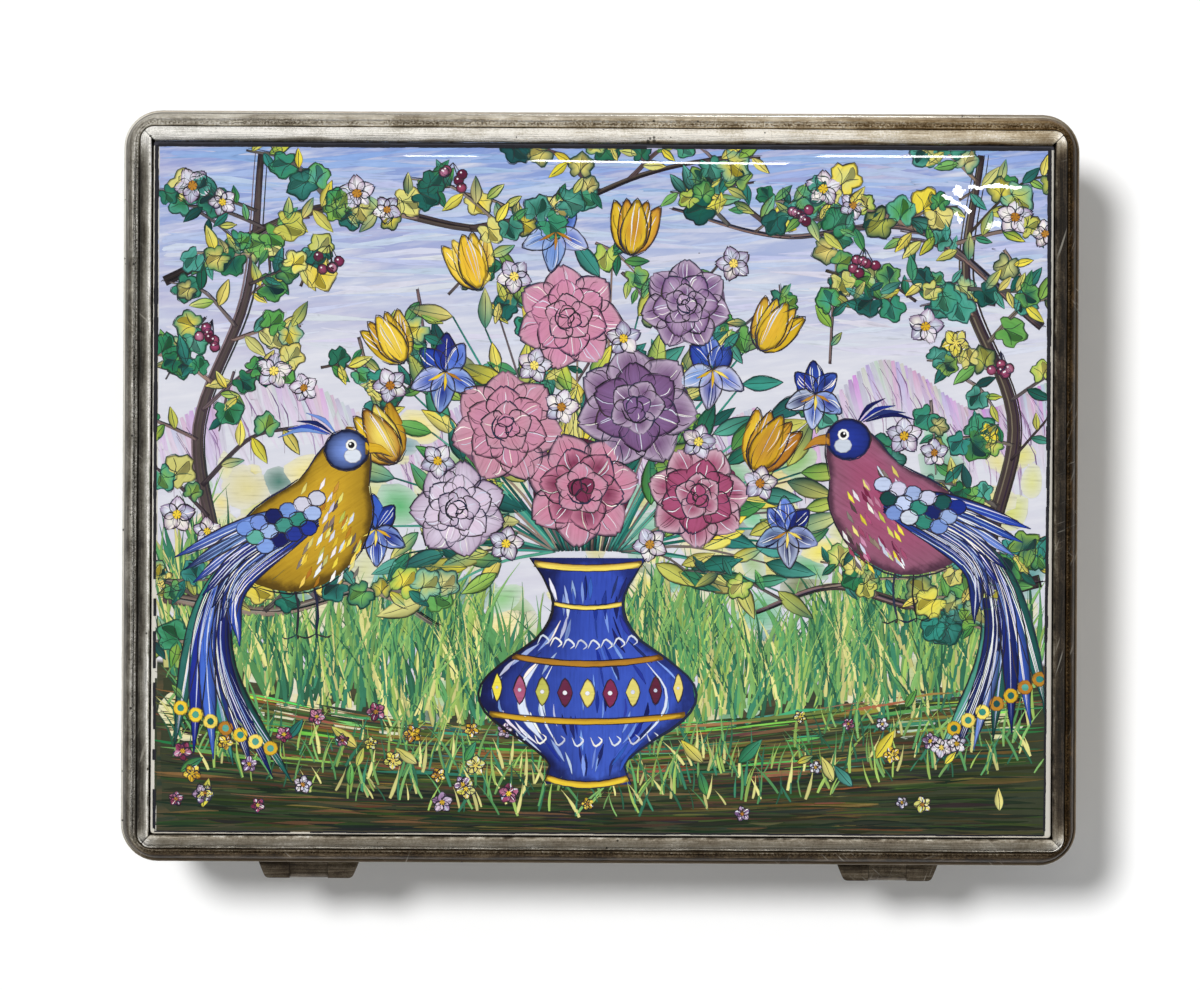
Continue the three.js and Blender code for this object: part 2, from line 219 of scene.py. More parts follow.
def makePits():
    # Small round pits and pinholes, only some of the cells have one
    tree, given, result = newGroup("pits", [
        ("Vector", "Vector", None), ("Per mm", "Float", 1.0), ("Size", "Float", 0.15),
        ("Share", "Float", 0.3)],
        [("Mask", "Float")])
    perMetre = times(given["Per mm"], 1000.0)
    cells = addNode(tree, "ShaderNodeTexVoronoi", {"Vector": given["Vector"], "Scale": perMetre,
                                                   "Randomness": 1.0})
    dice = addNode(tree, "ShaderNodeSeparateColor", {0: cells.outputs["Color"]}).outputs
    size = times(given["Size"], dice[1])
    inside = maths("LESS_THAN", cells.outputs["Distance"], size)
    chosen = maths("LESS_THAN", dice[0], given["Share"])
    link(times(inside, chosen), result["Mask"])
    return tree


streaks, tarnishAndShade, scratches, pits = makeStreaks(), makeTarnish(), makeScratches(), makePits()


def silverMaterial(name, amount, patches=0.25, flecks=0.2, perMm=0.25, along=0.1, across=7.0,
                   streakShare=0.18, bump=0.25, swept=False, warmth=0.5, smoothest=0.24, pinholes=()):
    # A swept ring carries its own tarnish with painted light and shade, warmth and grime, and UVs that run
    # along it
    material, tree, shader = newMaterial(name, Specular_IOR_Level=0.5)
    where = addNode(tree, "ShaderNodeTexCoord").outputs
    run = where["UV"] if swept else stretched(where["Object"], (1000, 1000, 1000))
    lines = useGroup(streaks, {"Vector": run, "Per mm along": along, "Per mm across": across})["Value"]
    level = amount
    if swept:
        level, warmth, grime = (addNode(tree, "ShaderNodeAttribute", attribute_name=label).outputs["Fac"]
                                for label in ("tarnishAndShade", "warmth", "grime"))
        flecks = plus(times(grime, 0.8), flecks)
    shade = times(minus(lines, 0.5), streakShare * 4)
    level = plus(shade, level)
    body = useGroup(tarnishAndShade, {"Vector": where["Object"], "Amount": level, "Warmth": warmth,
                              "Patches": patches, "Flecks": flecks, "Per mm": perMm,
                              "Smoothest": smoothest})
    marks = useGroup(scratches, {"Vector": where["Object"], "Share": 0.3})["Mask"]
    holes = useGroup(pits, {"Vector": where["Object"], "Per mm": 0.8, "Share": 0.3, "Size": 0.17})["Mask"]
    for x, y, radius in pinholes:
        flat = addNode(tree, "ShaderNodeVectorMath", {0: where["Object"], 1: (1, 1, 0)},
                       operation="MULTIPLY").outputs[0]
        away = addNode(tree, "ShaderNodeVectorMath", {0: flat, 1: (x * mm, y * mm, 0)}, operation="DISTANCE")
        holes = maths("MAXIMUM", holes, rescale(away.outputs["Value"], radius * mm, radius * 0.6 * mm))
    colour = blendColour(marks, body["Colour"], tone(236, 230, 216))
    colour = blendColour(times(holes, 0.8), colour, tone(30, 25, 20))
    link(colour, shader["Base Color"])
    link(body["Metallic"], shader["Metallic"])
    link(plus(body["Roughness"], times(marks, 0.15)), shader["Roughness"])
    height = plus(lines, times(body["Mask"], 0.7))
    height = minus(height, plus(holes, times(marks, 0.3)))
    emboss(shader, height, bump, 0.00008)
    return material


# Pinholes in the solder of the top bead strip: x, y and radius in mm
solderPinholes = ((6.76, 50.65, 0.34), (7.07, 51.08, 0.25), (7.61, 51.22, 0.27), (7.63, 50.72, 0.34))
rimSilver = silverMaterial("rolled rim silver", 0.4, patches=0.22, flecks=0.16, along=0.1, across=5.0,
                           streakShare=0.2, bump=0.7, swept=True, smoothest=0.16)
beadSilver = silverMaterial("bead strip silver", 0.2, patches=0.16, flecks=0.13, along=0.16, across=5.0,
                            streakShare=0.16, bump=0.6, swept=True, smoothest=0.16, pinholes=solderPinholes)
sheetSilver = silverMaterial("sheet silver", 0.3, patches=0.05, flecks=0.0, perMm=0.03, along=0.008,
                             across=12.0, streakShare=0.09, bump=0.04, swept=True, smoothest=0.08)
baseSilver = silverMaterial("base silver", 0.5, patches=0.08, flecks=0.02, perMm=0.04, along=0.01,
                            across=8.0, streakShare=0.09, bump=0.06, swept=True, smoothest=0.12)
hingeSilver = silverMaterial("hinge silver", 0.74, patches=0.16, flecks=0.16, perMm=0.4,
                             along=0.12, across=3.5, streakShare=0.2, bump=0.35, warmth=0.4)
pinSilver = silverMaterial("pin silver", 0.38, patches=0.15, flecks=0.15, perMm=0.6, bump=0.2)
print("silver finishes made")


def sideRun(turn, halfX, halfY, radius, steps, arcSteps):
    # Points of one side of a rounded rectangle, mitre to mitre, anticlockwise from the top side
    reach, depth = (halfX, halfY) if turn % 2 == 0 else (halfY, halfX)
    run = []
    for i in range(arcSteps):
        angle = math.radians(45 * (1 - i / arcSteps))
        run.append((reach - radius + radius * math.sin(angle), depth - radius + radius * math.cos(angle)))
    for i in range(steps + 1):
        run.append(((reach - radius) * (1 - 2 * i / steps), depth))
    for i in range(1, arcSteps + 1):
        angle = math.radians(45 * i / arcSteps)
        run.append((radius - reach - radius * math.sin(angle), depth - radius + radius * math.cos(angle)))
    for _ in range(turn):
        run = [(-y, x) for x, y in run]
    return run


def settled(x, y, share):
    # The hand-fitted frame lies a little off the sheet's middle: by this much at full share
    return (x + share * (0.325 + 0.175 * x / 66), y + share * (-0.2 + 0.15 * y / 51))


def waver(x, y, seed, size, amount):
    return amount * noise.noise(Vector((x / size, y / size, seed)))


def sweptPiece(name, profile, radiusAt, material, turns=(0, 1, 2, 3), spacing=1.2, arcSteps=6, shift=None,
               capped=False, surfaceAt=None, lift=None, closedProfile=True, warmth="roll", plainTarnish=0.4):
    # profile is a list of (setback, height) in mm; the ring is closed, or one mitred side with end caps
    rows = []
    for setback, height in profile:
        row = []
        for turn in turns:
            longer = boxHalf[turn % 2]
            run = sideRun(turn, boxHalf[0] - setback, boxHalf[1] - setback, radiusAt(setback),
                          int(2 * longer / spacing), arcSteps)
            row += run[:-1] if len(turns) == 4 else run
        rows.append(row)
    count, levels = len(rows[0]), len(rows)
    ring = len(turns) == 4
    lengths = [0.0]
    for i in range(1, count + 1):
        a, b = rows[0][i % count], rows[0][i - 1]
        lengths.append(lengths[-1] + math.hypot(a[0] - b[0], a[1] - b[1]))
    crossed = [0.0]
    for i in range(1, levels + 1):
        a, b = profile[i % levels], profile[i - 1]
        crossed.append(crossed[-1] + math.hypot(a[0] - b[0], a[1] - b[1]))
    points, values = [], {"tarnishAndShade": [], "warmth": [], "grime": []}
    for level, (setback, height) in enumerate(profile):
        for i, (x, y) in enumerate(rows[level]):
            along = lengths[i] / lengths[-2 if not ring else -1]
            # The first value is tarnish, and painted light and shade where given; the second is grime
            surface = surfaceAt(x, y, level) if surfaceAt else (plainTarnish, 0.0)
            values["tarnishAndShade"].append(surface[0])
            values["grime"].append(surface[1])
            values["warmth"].append(warmthAt(warmth, x, y))
            z = height
            if lift:
                z += lift(x, y, level, along)
            if shift:
                x, y = shift(x, y, setback, level, along)
            points.append((x * mm, y * mm, z * mm))
    faces, uvs = [], []
    for level in range(levels if closedProfile else levels - 1):
        above = (level + 1) % levels
        for i in range(count if ring else count - 1):
            after = (i + 1) % count
            faces.append((level * count + i, level * count + after, above * count + after, above * count + i))
            u, v = (lengths[i], lengths[i + 1]), (crossed[level], crossed[level + 1])
            uvs += [(u[0], v[0]), (u[1], v[0]), (u[1], v[1]), (u[0], v[1])]
    if capped or not ring:
        caps = []
        if not ring:
            caps = [[level * count for level in range(levels)],
                    [level * count + count - 1 for level in range(levels)][::-1]]
        if capped:
            caps = [list(range(count))[::-1], [(levels - 1) * count + i for i in range(count)]]
        for cap in caps:
            faces.append(tuple(cap))
            uvs += [(points[c][0] * 1000, points[c][1] * 1000) for c in cap]
    return meshPiece(name, points, faces, uvs, material, values)


def meshPiece(name, points, faces, uvs, material, values=None, smooth=40, colours=None):
    mesh = bpy.data.meshes.new(name)
    mesh.from_pydata(points, [], faces)
    if uvs:
        layer = mesh.uv_layers.new(name="UVMap")
        layer.data.foreach_set("uv", np.array(uvs, np.float32).ravel())
    for label, numbers in (values or {}).items():
        layer = mesh.attributes.new(label, "FLOAT", "POINT")
        layer.data.foreach_set("value", np.array(numbers, np.float32))
    for label, numbers in (colours or {}).items():
        layer = mesh.attributes.new(label, "FLOAT_COLOR", "POINT")
        layer.data.foreach_set("color", np.array(numbers, np.float32).ravel())
    mesh.materials.append(material)
    mesh.update()
    piece = bpy.data.objects.new(name, mesh)
    bpy.context.scene.collection.objects.link(piece)
    shadeByAngle(mesh, smooth)
    return piece


def shadeByAngle(mesh, degrees):
    mesh.shade_smooth()
    mesh.set_sharp_from_angle(angle=math.radians(degrees))


def applyModifiers(piece):
    bpy.context.view_layer.update()
    made = bpy.data.meshes.new_from_object(piece.evaluated_get(bpy.context.evaluated_depsgraph_get()))
    piece.modifiers.clear()
    piece.data = made


def fit(piece, body, slot, *nodes):
    # Normals are made to point outwards before the piece joins the frame
    whole = bmesh.new()
    whole.from_mesh(piece.data)
    bmesh.ops.recalc_face_normals(whole, faces=whole.faces)
    if whole.calc_volume(signed=True) < 0:
        bmesh.ops.reverse_faces(whole, faces=whole.faces)
    whole.to_mesh(piece.data)
    whole.free()
    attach(piece, body)
    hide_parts(*nodes)


def heightsOf(node):
    # Lowest and highest place of a CAD node, in mm
    low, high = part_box(node)
    return low.z * 1000, high.z * 1000


def outerRadius(setback):
    return max(shape["outerRadius"] - setback, 0.1)


def pushedOut(x, y, push):
    # Moved straight away from the middle, or towards it where push is negative
    length = math.hypot(x, y)
    return x + push * x / length, y + push * y / length


# How far each part is darkened on the top, left, bottom and right side: real tarnish, with painted light and
# shade where the sides differ as the light falls on them
wearAndShade = {
    "edge": (0.3, 0.06, 0.62, 0.66),
    "lip": (0.0, 0.0, 0.8, 0.92),
    "rollOut": (0.32, 0.68, 0.88, 0.98),
    "rollIn": (0.1, 0.05, 0.72, 0.93),
    "valley": (0.36, 0.3, 0.74, 0.9),
    "rib": (0.26, 0.36, 0.6, 0.78),
    "crevice": (0.25, 0.6, 0.4, 0.9),
    "beadOut": (0.1, 0.92, 0.3, 0.94),
    "beadCrest": (0.0, 0.6, 0.42, 0.98),
    "beadIn": (0.0, 0.1, 0.5, 0.8),
    "beadFoot": (0.55, 0.1, 0.46, 0.66),
}
warmthOfSide = {"roll": (0.7, 0.15, 0.6, 0.95), "bead": (0.5, 0.1, 0.4, 0.35),
                "body": (0.45, 0.35, 0.5, 0.55)}
# The top side turns browner and duller towards its right end
rightEnd = {"browner": {"roll": 0.42, "bead": 0.5, "body": 0.0}, "duller": 0.26, "from": 22, "to": 66}
# Corners of the bead that hands have worn bright: place in mm, reach in mm
wornCorners = (((-66.5, 51.5), 3.6), ((67, -52), 2.6), ((66.8, 51.6), 1.6), ((-66.5, -52), 1.8))


def sideOf(x, y):
    # Shares of top, left, bottom and right at a place, with a soft change at the corners
    across, up = abs(x) - boxHalf[0], abs(y) - boxHalf[1]
    share = 1 / (1 + math.exp(-(across - up) * 0.6))
    return ((1 - share) if y > 0 else 0, share if x < 0 else 0, (1 - share) if y <= 0 else 0,
            share if x >= 0 else 0)


# Tarnish for a part at a place, with its painted light and shade, blended between the sides
def wearAndShadeAt(part, x, y):
    d = rightEnd
    shares = sideOf(x, y)
    along = min(max((x - d["from"]) / (d["to"] - d["from"]), 0), 1)
    duller = d["duller"] * shares[0] * along * along * (3 - 2 * along)
    return sum(share * amount for share, amount in zip(shares, wearAndShade[part])) + duller


def warmthAt(kind, x, y):
    shares = sideOf(x, y)
    browner = rightEnd["browner"][kind] * shares[0] * x / boxHalf[0]
    return min(max(sum(share * amount for share, amount in zip(shares, warmthOfSide[kind])) + browner, 0), 1)


def rubbed(x, y):
    return max(math.exp(-(math.hypot(x - cx, y - cy) / reach) ** 2) for (cx, cy), reach in wornCorners)


lidShell = {"wallFoot": 29.3, "wallThickness": 0.9, "plateUnderside": 36.0, "edgeRound": 0.3, "dent": 0.05}
rim = {"lip": 0.45, "inner": 2.35, "unevenness": 0.05,
       "section": ((0.46, 0.2), (0.53, 0.56), (0.64, 0.93), (0.78, 1.26), (0.95, 1.52), (1.14, 1.66),
                   (1.33, 1.65), (1.5, 1.56), (1.66, 1.43), (1.77, 1.33), (1.83, 1.28), (1.9, 1.27),
                   (1.99, 1.27), (2.09, 1.23), (2.19, 1.14), (2.28, 0.96), (2.33, 0.7))}
# The bead's section is in shares of its width and of its height above the foot: steep on the outside,
# gently sloping inside
bead = {"setback": 2.4, "widths": (2.19, 1.66, 1.86, 1.7), "height": 2.6, "foot": 1.675, "unevenness": 0.06,
        "mitreGap": 0.06, "crestSkew": (0.72, 1, 1, 1),
        "section": ((0, 0), (0, 0.3), (0.03, 0.5), (0.08, 0.66), (0.16, 0.79), (0.27, 0.885),
                    (0.4, 0.945), (0.52, 0.98), (0.62, 0.997), (0.7, 1), (0.77, 0.985), (0.84, 0.945),
                    (0.91, 0.88), (0.97, 0.79), (1, 0.66), (1, 0.3), (1, 0))}


def makeLidShell():
    d = lidShell
    r = d["edgeRound"]
    outer = [(4.0, lidTop), (2.0, lidTop), (0.45, lidTop), (r, lidTop)]
    outer += [(r - r * math.sin(a), lidTop - r + r * math.cos(a)) for a in (0.4, 0.8, 1.2, 1.5708)]
    outer += [(0, z) for z in (35.6, 34.4, 33.0, 31.6, 30.4, 29.6)]
    outer += [(0.1, d["wallFoot"]), (d["wallThickness"] - 0.1, d["wallFoot"]), (d["wallThickness"], 29.5),
              (d["wallThickness"], 32.5), (d["wallThickness"], d["plateUnderside"]),
              (4.0, d["plateUnderside"])]

    def shift(x, y, setback, level, along):
        if 7 < level < 14:
            return pushedOut(x, y, waver(x, y, level * 0.3, 14, d["dent"]) - d["dent"] * 0.6)
        return x, y

    def surfaceAt(x, y, level):
        if level < 2:
            return 0.97, 0.5
        if level < 8:
            return wearAndShadeAt("lip" if level < 4 else "edge", x, y), 0.1
        return 0.3 + waver(x, y, level * 0.1, 18, 0.24) + 0.3 * (level > 12), 0.05

    piece = sweptPiece("lid_shell", outer, outerRadius, sheetSilver, shift=shift, capped=True,
                       closedProfile=False, surfaceAt=surfaceAt, warmth="body")
    fit(piece, "lid", "silver", "lid_wall", "lid_plate")


def settledShare(setback):
    return min(max((setback - rim["lip"]) / (bead["setback"] - rim["lip"]), 0), 1)


def makeRim():
    d = rim
    profile = [(d["lip"], lidTop)] + [(s, lidTop + z) for s, z in d["section"]] + [(d["inner"], lidTop)]

    def radiusAt(setback):
        share = (setback - d["lip"]) / (d["inner"] - d["lip"])
        return (1 - share) * outerRadius(d["lip"]) + share * (shape["beadOuterRadius"] + 0.05)

    def shift(x, y, setback, level, along):
        x, y = settled(x, y, settledShare(setback))
        if 2 < level < 16:
            return x + waver(x, y, 3.1, 9, d["unevenness"]), y + waver(x, y, 7.7, 9, d["unevenness"])
        return x, y

    def lift(x, y, level, along):
        return 0 if level in (0, len(profile) - 1) else waver(x, y, level * 0.15, 5, 0.07) - 0.035

    def surfaceAt(x, y, level):
        # Dirt has stayed along the valley between roll and bead
        grime = math.exp(-((level - 10.5) / 2.6) ** 2)
        grime += 0.6 * sideOf(x, y)[0] * math.exp(-((level - 9) / 2) ** 2)
        if level <= 9:
            share = min(max((level - 5.5) / 3, 0), 1)
            return (1 - share) * wearAndShadeAt("rollOut", x, y) + share * wearAndShadeAt("rollIn", x, y), grime
        return wearAndShadeAt("valley" if level <= 11 else "rib" if level <= 15 else "crevice", x, y), grime

    piece = sweptPiece("rim_moulding", profile, radiusAt, rimSilver, shift=shift, lift=lift,
                       surfaceAt=surfaceAt, spacing=0.8)
    fit(piece, "lid", "silver", "lid_rim_moulding")


def makeBead(turn, name):
    d = bead
    width = d["widths"][turn]
    # The top strip is rolled over towards the plaque
    section = [(across ** d["crestSkew"][turn], up) for across, up in d["section"]]
    rise = d["height"] - d["foot"]
    crest = [(d["setback"] + width * across, d["foot"] + rise * up) for across, up in section]
    profile = [(s, lidTop + z) for s, z in [(d["setback"], 0)] + crest + [(d["setback"] + width, 0)]]

    def radiusAt(setback):
        share = (setback - d["setback"]) / width
        return (1 - share) * shape["beadOuterRadius"] + share * shape["beadInnerRadius"]

    def shift(x, y, setback, level, along):
        x, y = settled(x, y, 1)
        x += waver(x, y, 1.3 + turn, 6, d["unevenness"])
        y += waver(x, y, 5.3 + turn, 6, d["unevenness"])
        # The ends stop a hair short of the mitre
        end = min(along, 1 - along) * 100
        back = d["mitreGap"] if end < 0.001 else 0
        towards = -1 if along > 0.5 else 1
        if turn % 2 == 0:
            x -= back * towards * (1 if turn == 0 else -1)
        else:
            y -= back * towards * (1 if turn == 1 else -1)
        return x, y

    def lift(x, y, level, along):
        end = min(along, 1 - along)
        uneven = waver(x, y, 2.2 + level * 0.1, 4, 0.07) - 0.04 if 0 < level < len(profile) - 1 else 0
        return uneven - (0.12 * max(0, 1 - end * 120) if 2 < level < 16 else 0)

    def surfaceAt(x, y, level):
        place = section[min(max(level - 1, 0), 16)][0]
        stops = (0, 0.5, 0.8, 1.0)
        amounts = [wearAndShadeAt(part, x, y) for part in ("beadOut", "beadCrest", "beadIn", "beadFoot")]
        amount = float(np.interp(place + waver(x, y, 4.4, 9, 0.16 + 0.16 * sideOf(x, y)[0]), stops, amounts))
        # A wavy band of painted shade, darker and lighter by turns, where it meets the plaque
        amount += waver(x, y, 8.2, 0.9, 0.55) * (place > 0.9)
        return amount * (1 - 0.92 * rubbed(x, y)), 0.35 * abs(place - 0.5)

    piece = sweptPiece("bead_strip_" + name, profile, radiusAt, beadSilver, turns=(turn,),
                       shift=shift, lift=lift, surfaceAt=surfaceAt, spacing=0.7, arcSteps=5, warmth="bead")
    fit(piece, "lid", "bezel_silver", "bezel_bead_" + name)


makeLidShell()
makeRim()
for turn, name in enumerate(("top", "left", "bottom", "right")):
    makeBead(turn, name)
print("lid silver made")


body = {"wallSetback": 1.6, "wallThickness": 0.9, "dent": 0.07, "lipRound": 0.2, "plateSetback": 0.2,
        "plateRound": 0.2, "mouldingSetback": 0.5, "mouldingFoot": 0.4}


def makeBodyWall():
    d = body
    outside, inside, r = d["wallSetback"], d["wallSetback"] + d["wallThickness"], d["lipRound"]
    low, high = heightsOf("body_wall")
    heights = [low + 0.1 + (high - r - low - 0.1) * i / 12 for i in range(13)]
    profile = [(outside, low)] + [(outside, z) for z in heights]
    profile += [(outside + r - r * math.cos(a), high - r + r * math.sin(a)) for a in (0.5, 1.0, 1.5708)]
    profile += [(inside - r + r * math.cos(a), high - r + r * math.sin(a)) for a in (1.5708, 1.0, 0.5, 0.0)]
    profile += [(inside, low)]

    def shift(x, y, setback, level, along):
        if 1 < level < 13:
            return pushedOut(x, y, waver(x, y, level * 0.12, 22, d["dent"]) - d["dent"] * 0.5)
        return x, y

    def surfaceAt(x, y, level):
        # Painted shade: darker towards the foot and just under the lid's wall
        height = heights[min(max(level - 1, 0), 12)]
        dark = 0.3 * math.exp((low - height) / 2.2) + 0.22 * math.exp((height - high) / 1.4)
        return 0.26 + waver(x, y, height * 0.05, 32, 0.13) + dark, 0.1

    piece = sweptPiece("box_wall", profile, outerRadius, sheetSilver, shift=shift, spacing=1.6,
                       surfaceAt=surfaceAt, warmth="body")
    fit(piece, "body", "silver", "body_wall")


def makeBase():
    d = body
    low, high = heightsOf("base_plate")
    r = d["plateRound"]
    s = d["plateSetback"] + r
    profile = [(6, high), (s, high)]
    profile += [(s - r * math.sin(a), high - r + r * math.cos(a)) for a in (0.5, 1.0, 1.5708)]
    profile += [(s - r * math.cos(a), low + r - r * math.sin(a)) for a in (0.0, 0.5, 1.0, 1.5708)]
    profile += [(6, low)]
    piece = sweptPiece("base_sheet", profile, outerRadius, baseSilver, spacing=1.6, capped=True,
                       closedProfile=False, warmth="body", plainTarnish=0.5)
    fit(piece, "body", "silver", "base_plate")
    bottom, top = heightsOf("base_moulding")
    out, back = d["mouldingSetback"], d["wallSetback"] - 0.05
    rise = top - bottom - d["mouldingFoot"]
    profile = [(back, bottom), (out, bottom), (out, bottom + d["mouldingFoot"])]
    profile += [(out + (back - out) * (1 - math.cos(a)), bottom + d["mouldingFoot"] + rise * math.sin(a))
                for a in (0.2, 0.4, 0.6, 0.8, 1.0, 1.2, 1.4, 1.5708)]
    piece = sweptPiece("base_bead", profile, outerRadius, baseSilver, spacing=1.6, warmth="body",
                       plainTarnish=0.46)
    fit(piece, "body", "silver", "base_moulding")


sharpAngle = 35  # degrees between faces from which an edge is eased and stays sharp in the shading


def finishedCopy(name, node, material, body, bevel, segments=2, moved=()):
    # A CAD node's own shape with its facets smoothed and its edges eased; moved shifts end faces along X
    piece = bpy.data.objects.new(name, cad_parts[node].data.copy())
    piece.data.name = name
    bpy.context.scene.collection.objects.link(piece)
    whole = bmesh.new()
    whole.from_mesh(piece.data)
    bmesh.ops.remove_doubles(whole, verts=whole.verts, dist=1e-6)
    bmesh.ops.dissolve_limit(whole, angle_limit=math.radians(0.5), verts=whole.verts, edges=whole.edges)
    for point in whole.verts:
        for place, target in moved:
            if abs(point.co.x - place) < 0.01 * mm:
                point.co.x = target
    whole.to_mesh(piece.data)
    whole.free()
    easing = piece.modifiers.new("eased edges", "BEVEL")
    easing.width = bevel * mm
    easing.segments = segments
    easing.limit_method = "ANGLE"
    easing.angle_limit = math.radians(sharpAngle)
    easing.use_clamp_overlap = True
    applyModifiers(piece)
    giveMaterial(piece.data, material)
    shadeByAngle(piece.data, sharpAngle)
    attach(piece, body)
    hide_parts(node)


hinge = {"lidKnuckle": 5.4, "gap": 0.2, "closedBy": 0.075, "easing": 0.1}


def makeHinge(side):
    # The knuckles of worn hinges sit closer than the turning clearance of the solids
    d = hinge
    leafLow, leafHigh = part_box("hinge_%s_lid_leaf" % side)
    middle = (leafLow.x + leafHigh.x) / 2
    for part, half, push in (("lid", d["lidKnuckle"] / 2, 1), ("body", d["lidKnuckle"] / 2 + d["gap"], -1)):
        moved = [(middle + way * half * mm, middle + way * (half + push * d["closedBy"]) * mm)
                 for way in (-1, 1)]
        finishedCopy("hinge_leaf_%s_%s" % (part, side), "hinge_%s_%s_leaf" % (side, part), hingeSilver, part,
                     d["easing"], moved=moved)
    giveMaterial(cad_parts["hinge_%s_pin" % side].data, pinSilver)


makeBodyWall()
makeBase()
for side in ("left", "right"):
    makeHinge(side)
print("body silver made")


cedar = {"dark": tone(112, 62, 36), "mid": tone(158, 96, 60), "light": tone(190, 130, 88)}


def cedarMaterial(name, turn):
    # Straight grain along X, or along Y where turned, with darker late wood and small pores
    material, tree, shader = newMaterial(name, Specular_IOR_Level=0.3)
    where = addNode(tree, "ShaderNodeTexCoord").outputs["Object"]
    fibre = stretched(where, (9, 420, 420), turn)
    rings = addNode(tree, "ShaderNodeTexWave", {"Vector": stretched(where, (10, 190, 260), turn),
                                                "Scale": 0.55, "Distortion": 9.0, "Detail": 4.0},
                    wave_type="BANDS", bands_direction="DIAGONAL").outputs["Fac"]
    fine = speckle(fibre, 6.0, 6.0, 0.65)
    base = blendColour(times(rings, 0.8), cedar["mid"], cedar["light"])
    base = blendColour(rescale(fine, 0.35, 0.75, 0.0, 0.75), base, cedar["dark"])
    pores = rescale(speckle(stretched(where, (60, 2600, 2600), turn), 1.0, 2.0), 0.63, 0.7)
    base = blendColour(times(pores, 0.6), base, tone(70, 38, 22))
    link(base, shader["Base Color"])
    link(rescale(fine, 0.0, 1.0, 0.55, 0.75), shader["Roughness"])
    emboss(shader, minus(fine, pores), 0.35)
    return material


def giltMaterial():
    # Thin gold wash over silver: rubbed through in places, with fine circular polishing marks
    material, tree, shader = newMaterial("gilt lining", Metallic=1.0)
    where = addNode(tree, "ShaderNodeTexCoord").outputs["Object"]
    patch = speckle(where, 70.0, 4.0)
    marks = useGroup(scratches, {"Vector": where, "Share": 0.5, "Fineness": 0.6})["Mask"]
    colour = blendColour(patch, tone(216, 168, 92), tone(236, 200, 132))
    rubbed = rescale(speckle(where, 32.0, 6.0, 0.65), 0.62, 0.72)
    colour = blendColour(times(rubbed, 0.7), colour, tone(214, 205, 186))
    colour = blendColour(marks, colour, tone(250, 226, 170))
    link(colour, shader["Base Color"])
    link(rescale(patch, 0.2, 0.8, 0.2, 0.34), shader["Roughness"])
    emboss(shader, plus(patch, marks), 0.12)
    return material


def cardMaterial():
    material, tree, shader = newMaterial("packing card", Specular_IOR_Level=0.2)
    where = addNode(tree, "ShaderNodeTexCoord").outputs["Object"]
    fibres = speckle(where, 900.0, 5.0, 0.7)
    link(blendColour(fibres, tone(150, 132, 104), tone(202, 186, 152)), shader["Base Color"])
    link(rescale(fibres, 0, 1, 0.8, 0.95), shader["Roughness"])
    emboss(shader, fibres, 0.4)
    return material


cedarAlong, cedarAcross = cedarMaterial("cedar along", 0.0), cedarMaterial("cedar across", math.pi / 2)
for side, wood in (("front", cedarAlong), ("back", cedarAlong), ("left", cedarAcross),
                   ("right", cedarAcross)):
    finishedCopy("cedar_lining_" + side, "cedar_board_" + side, wood, "body", 0.25)
finishedCopy("cedar_bottom", "cedar_floor", cedarAlong, "body", 0.2)
finishedCopy("cedar_partition", "cedar_divider", cedarAcross, "body", 0.5, segments=3)
finishedCopy("gilt_lining", "lid_lining_plate", giltMaterial(), "lid", 0.15)
giveMaterial(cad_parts["plaque_packing"].data, cardMaterial())
print("linings made")


plaque = {"halfLength": 65.65, "halfWidth": 50.5, "foot": 37.3, "edgeTop": 38.65, "crown": 0.4,
          "edgeDrop": 0.22, "edgeRound": 1.1, "cornerRadius": 0.5, "spacing": 1.0}


def plaqueHeight(x, y):
    # Height of the domed face in mm, for numbers or arrays
    d = plaque
    across, up = np.clip(x / d["halfLength"], -1, 1), np.clip(y / d["halfWidth"], -1, 1)
    fallX = 1 - np.sqrt(1 - np.maximum(1 - d["halfLength"] * (1 - abs(across)) / d["edgeRound"], 0) ** 2)
    fallY = 1 - np.sqrt(1 - np.maximum(1 - d["halfWidth"] * (1 - abs(up)) / d["edgeRound"], 0) ** 2)
    return (d["edgeTop"] + d["crown"] * (1 - across ** 2) * (1 - up ** 2)
            - d["edgeDrop"] * (fallX + fallY - fallX * fallY))


glaze = {"shoulder": 4.5, "shoulderSlope": 0.06, "wavesPerMetre": 700, "waveSlope": 0.0014}


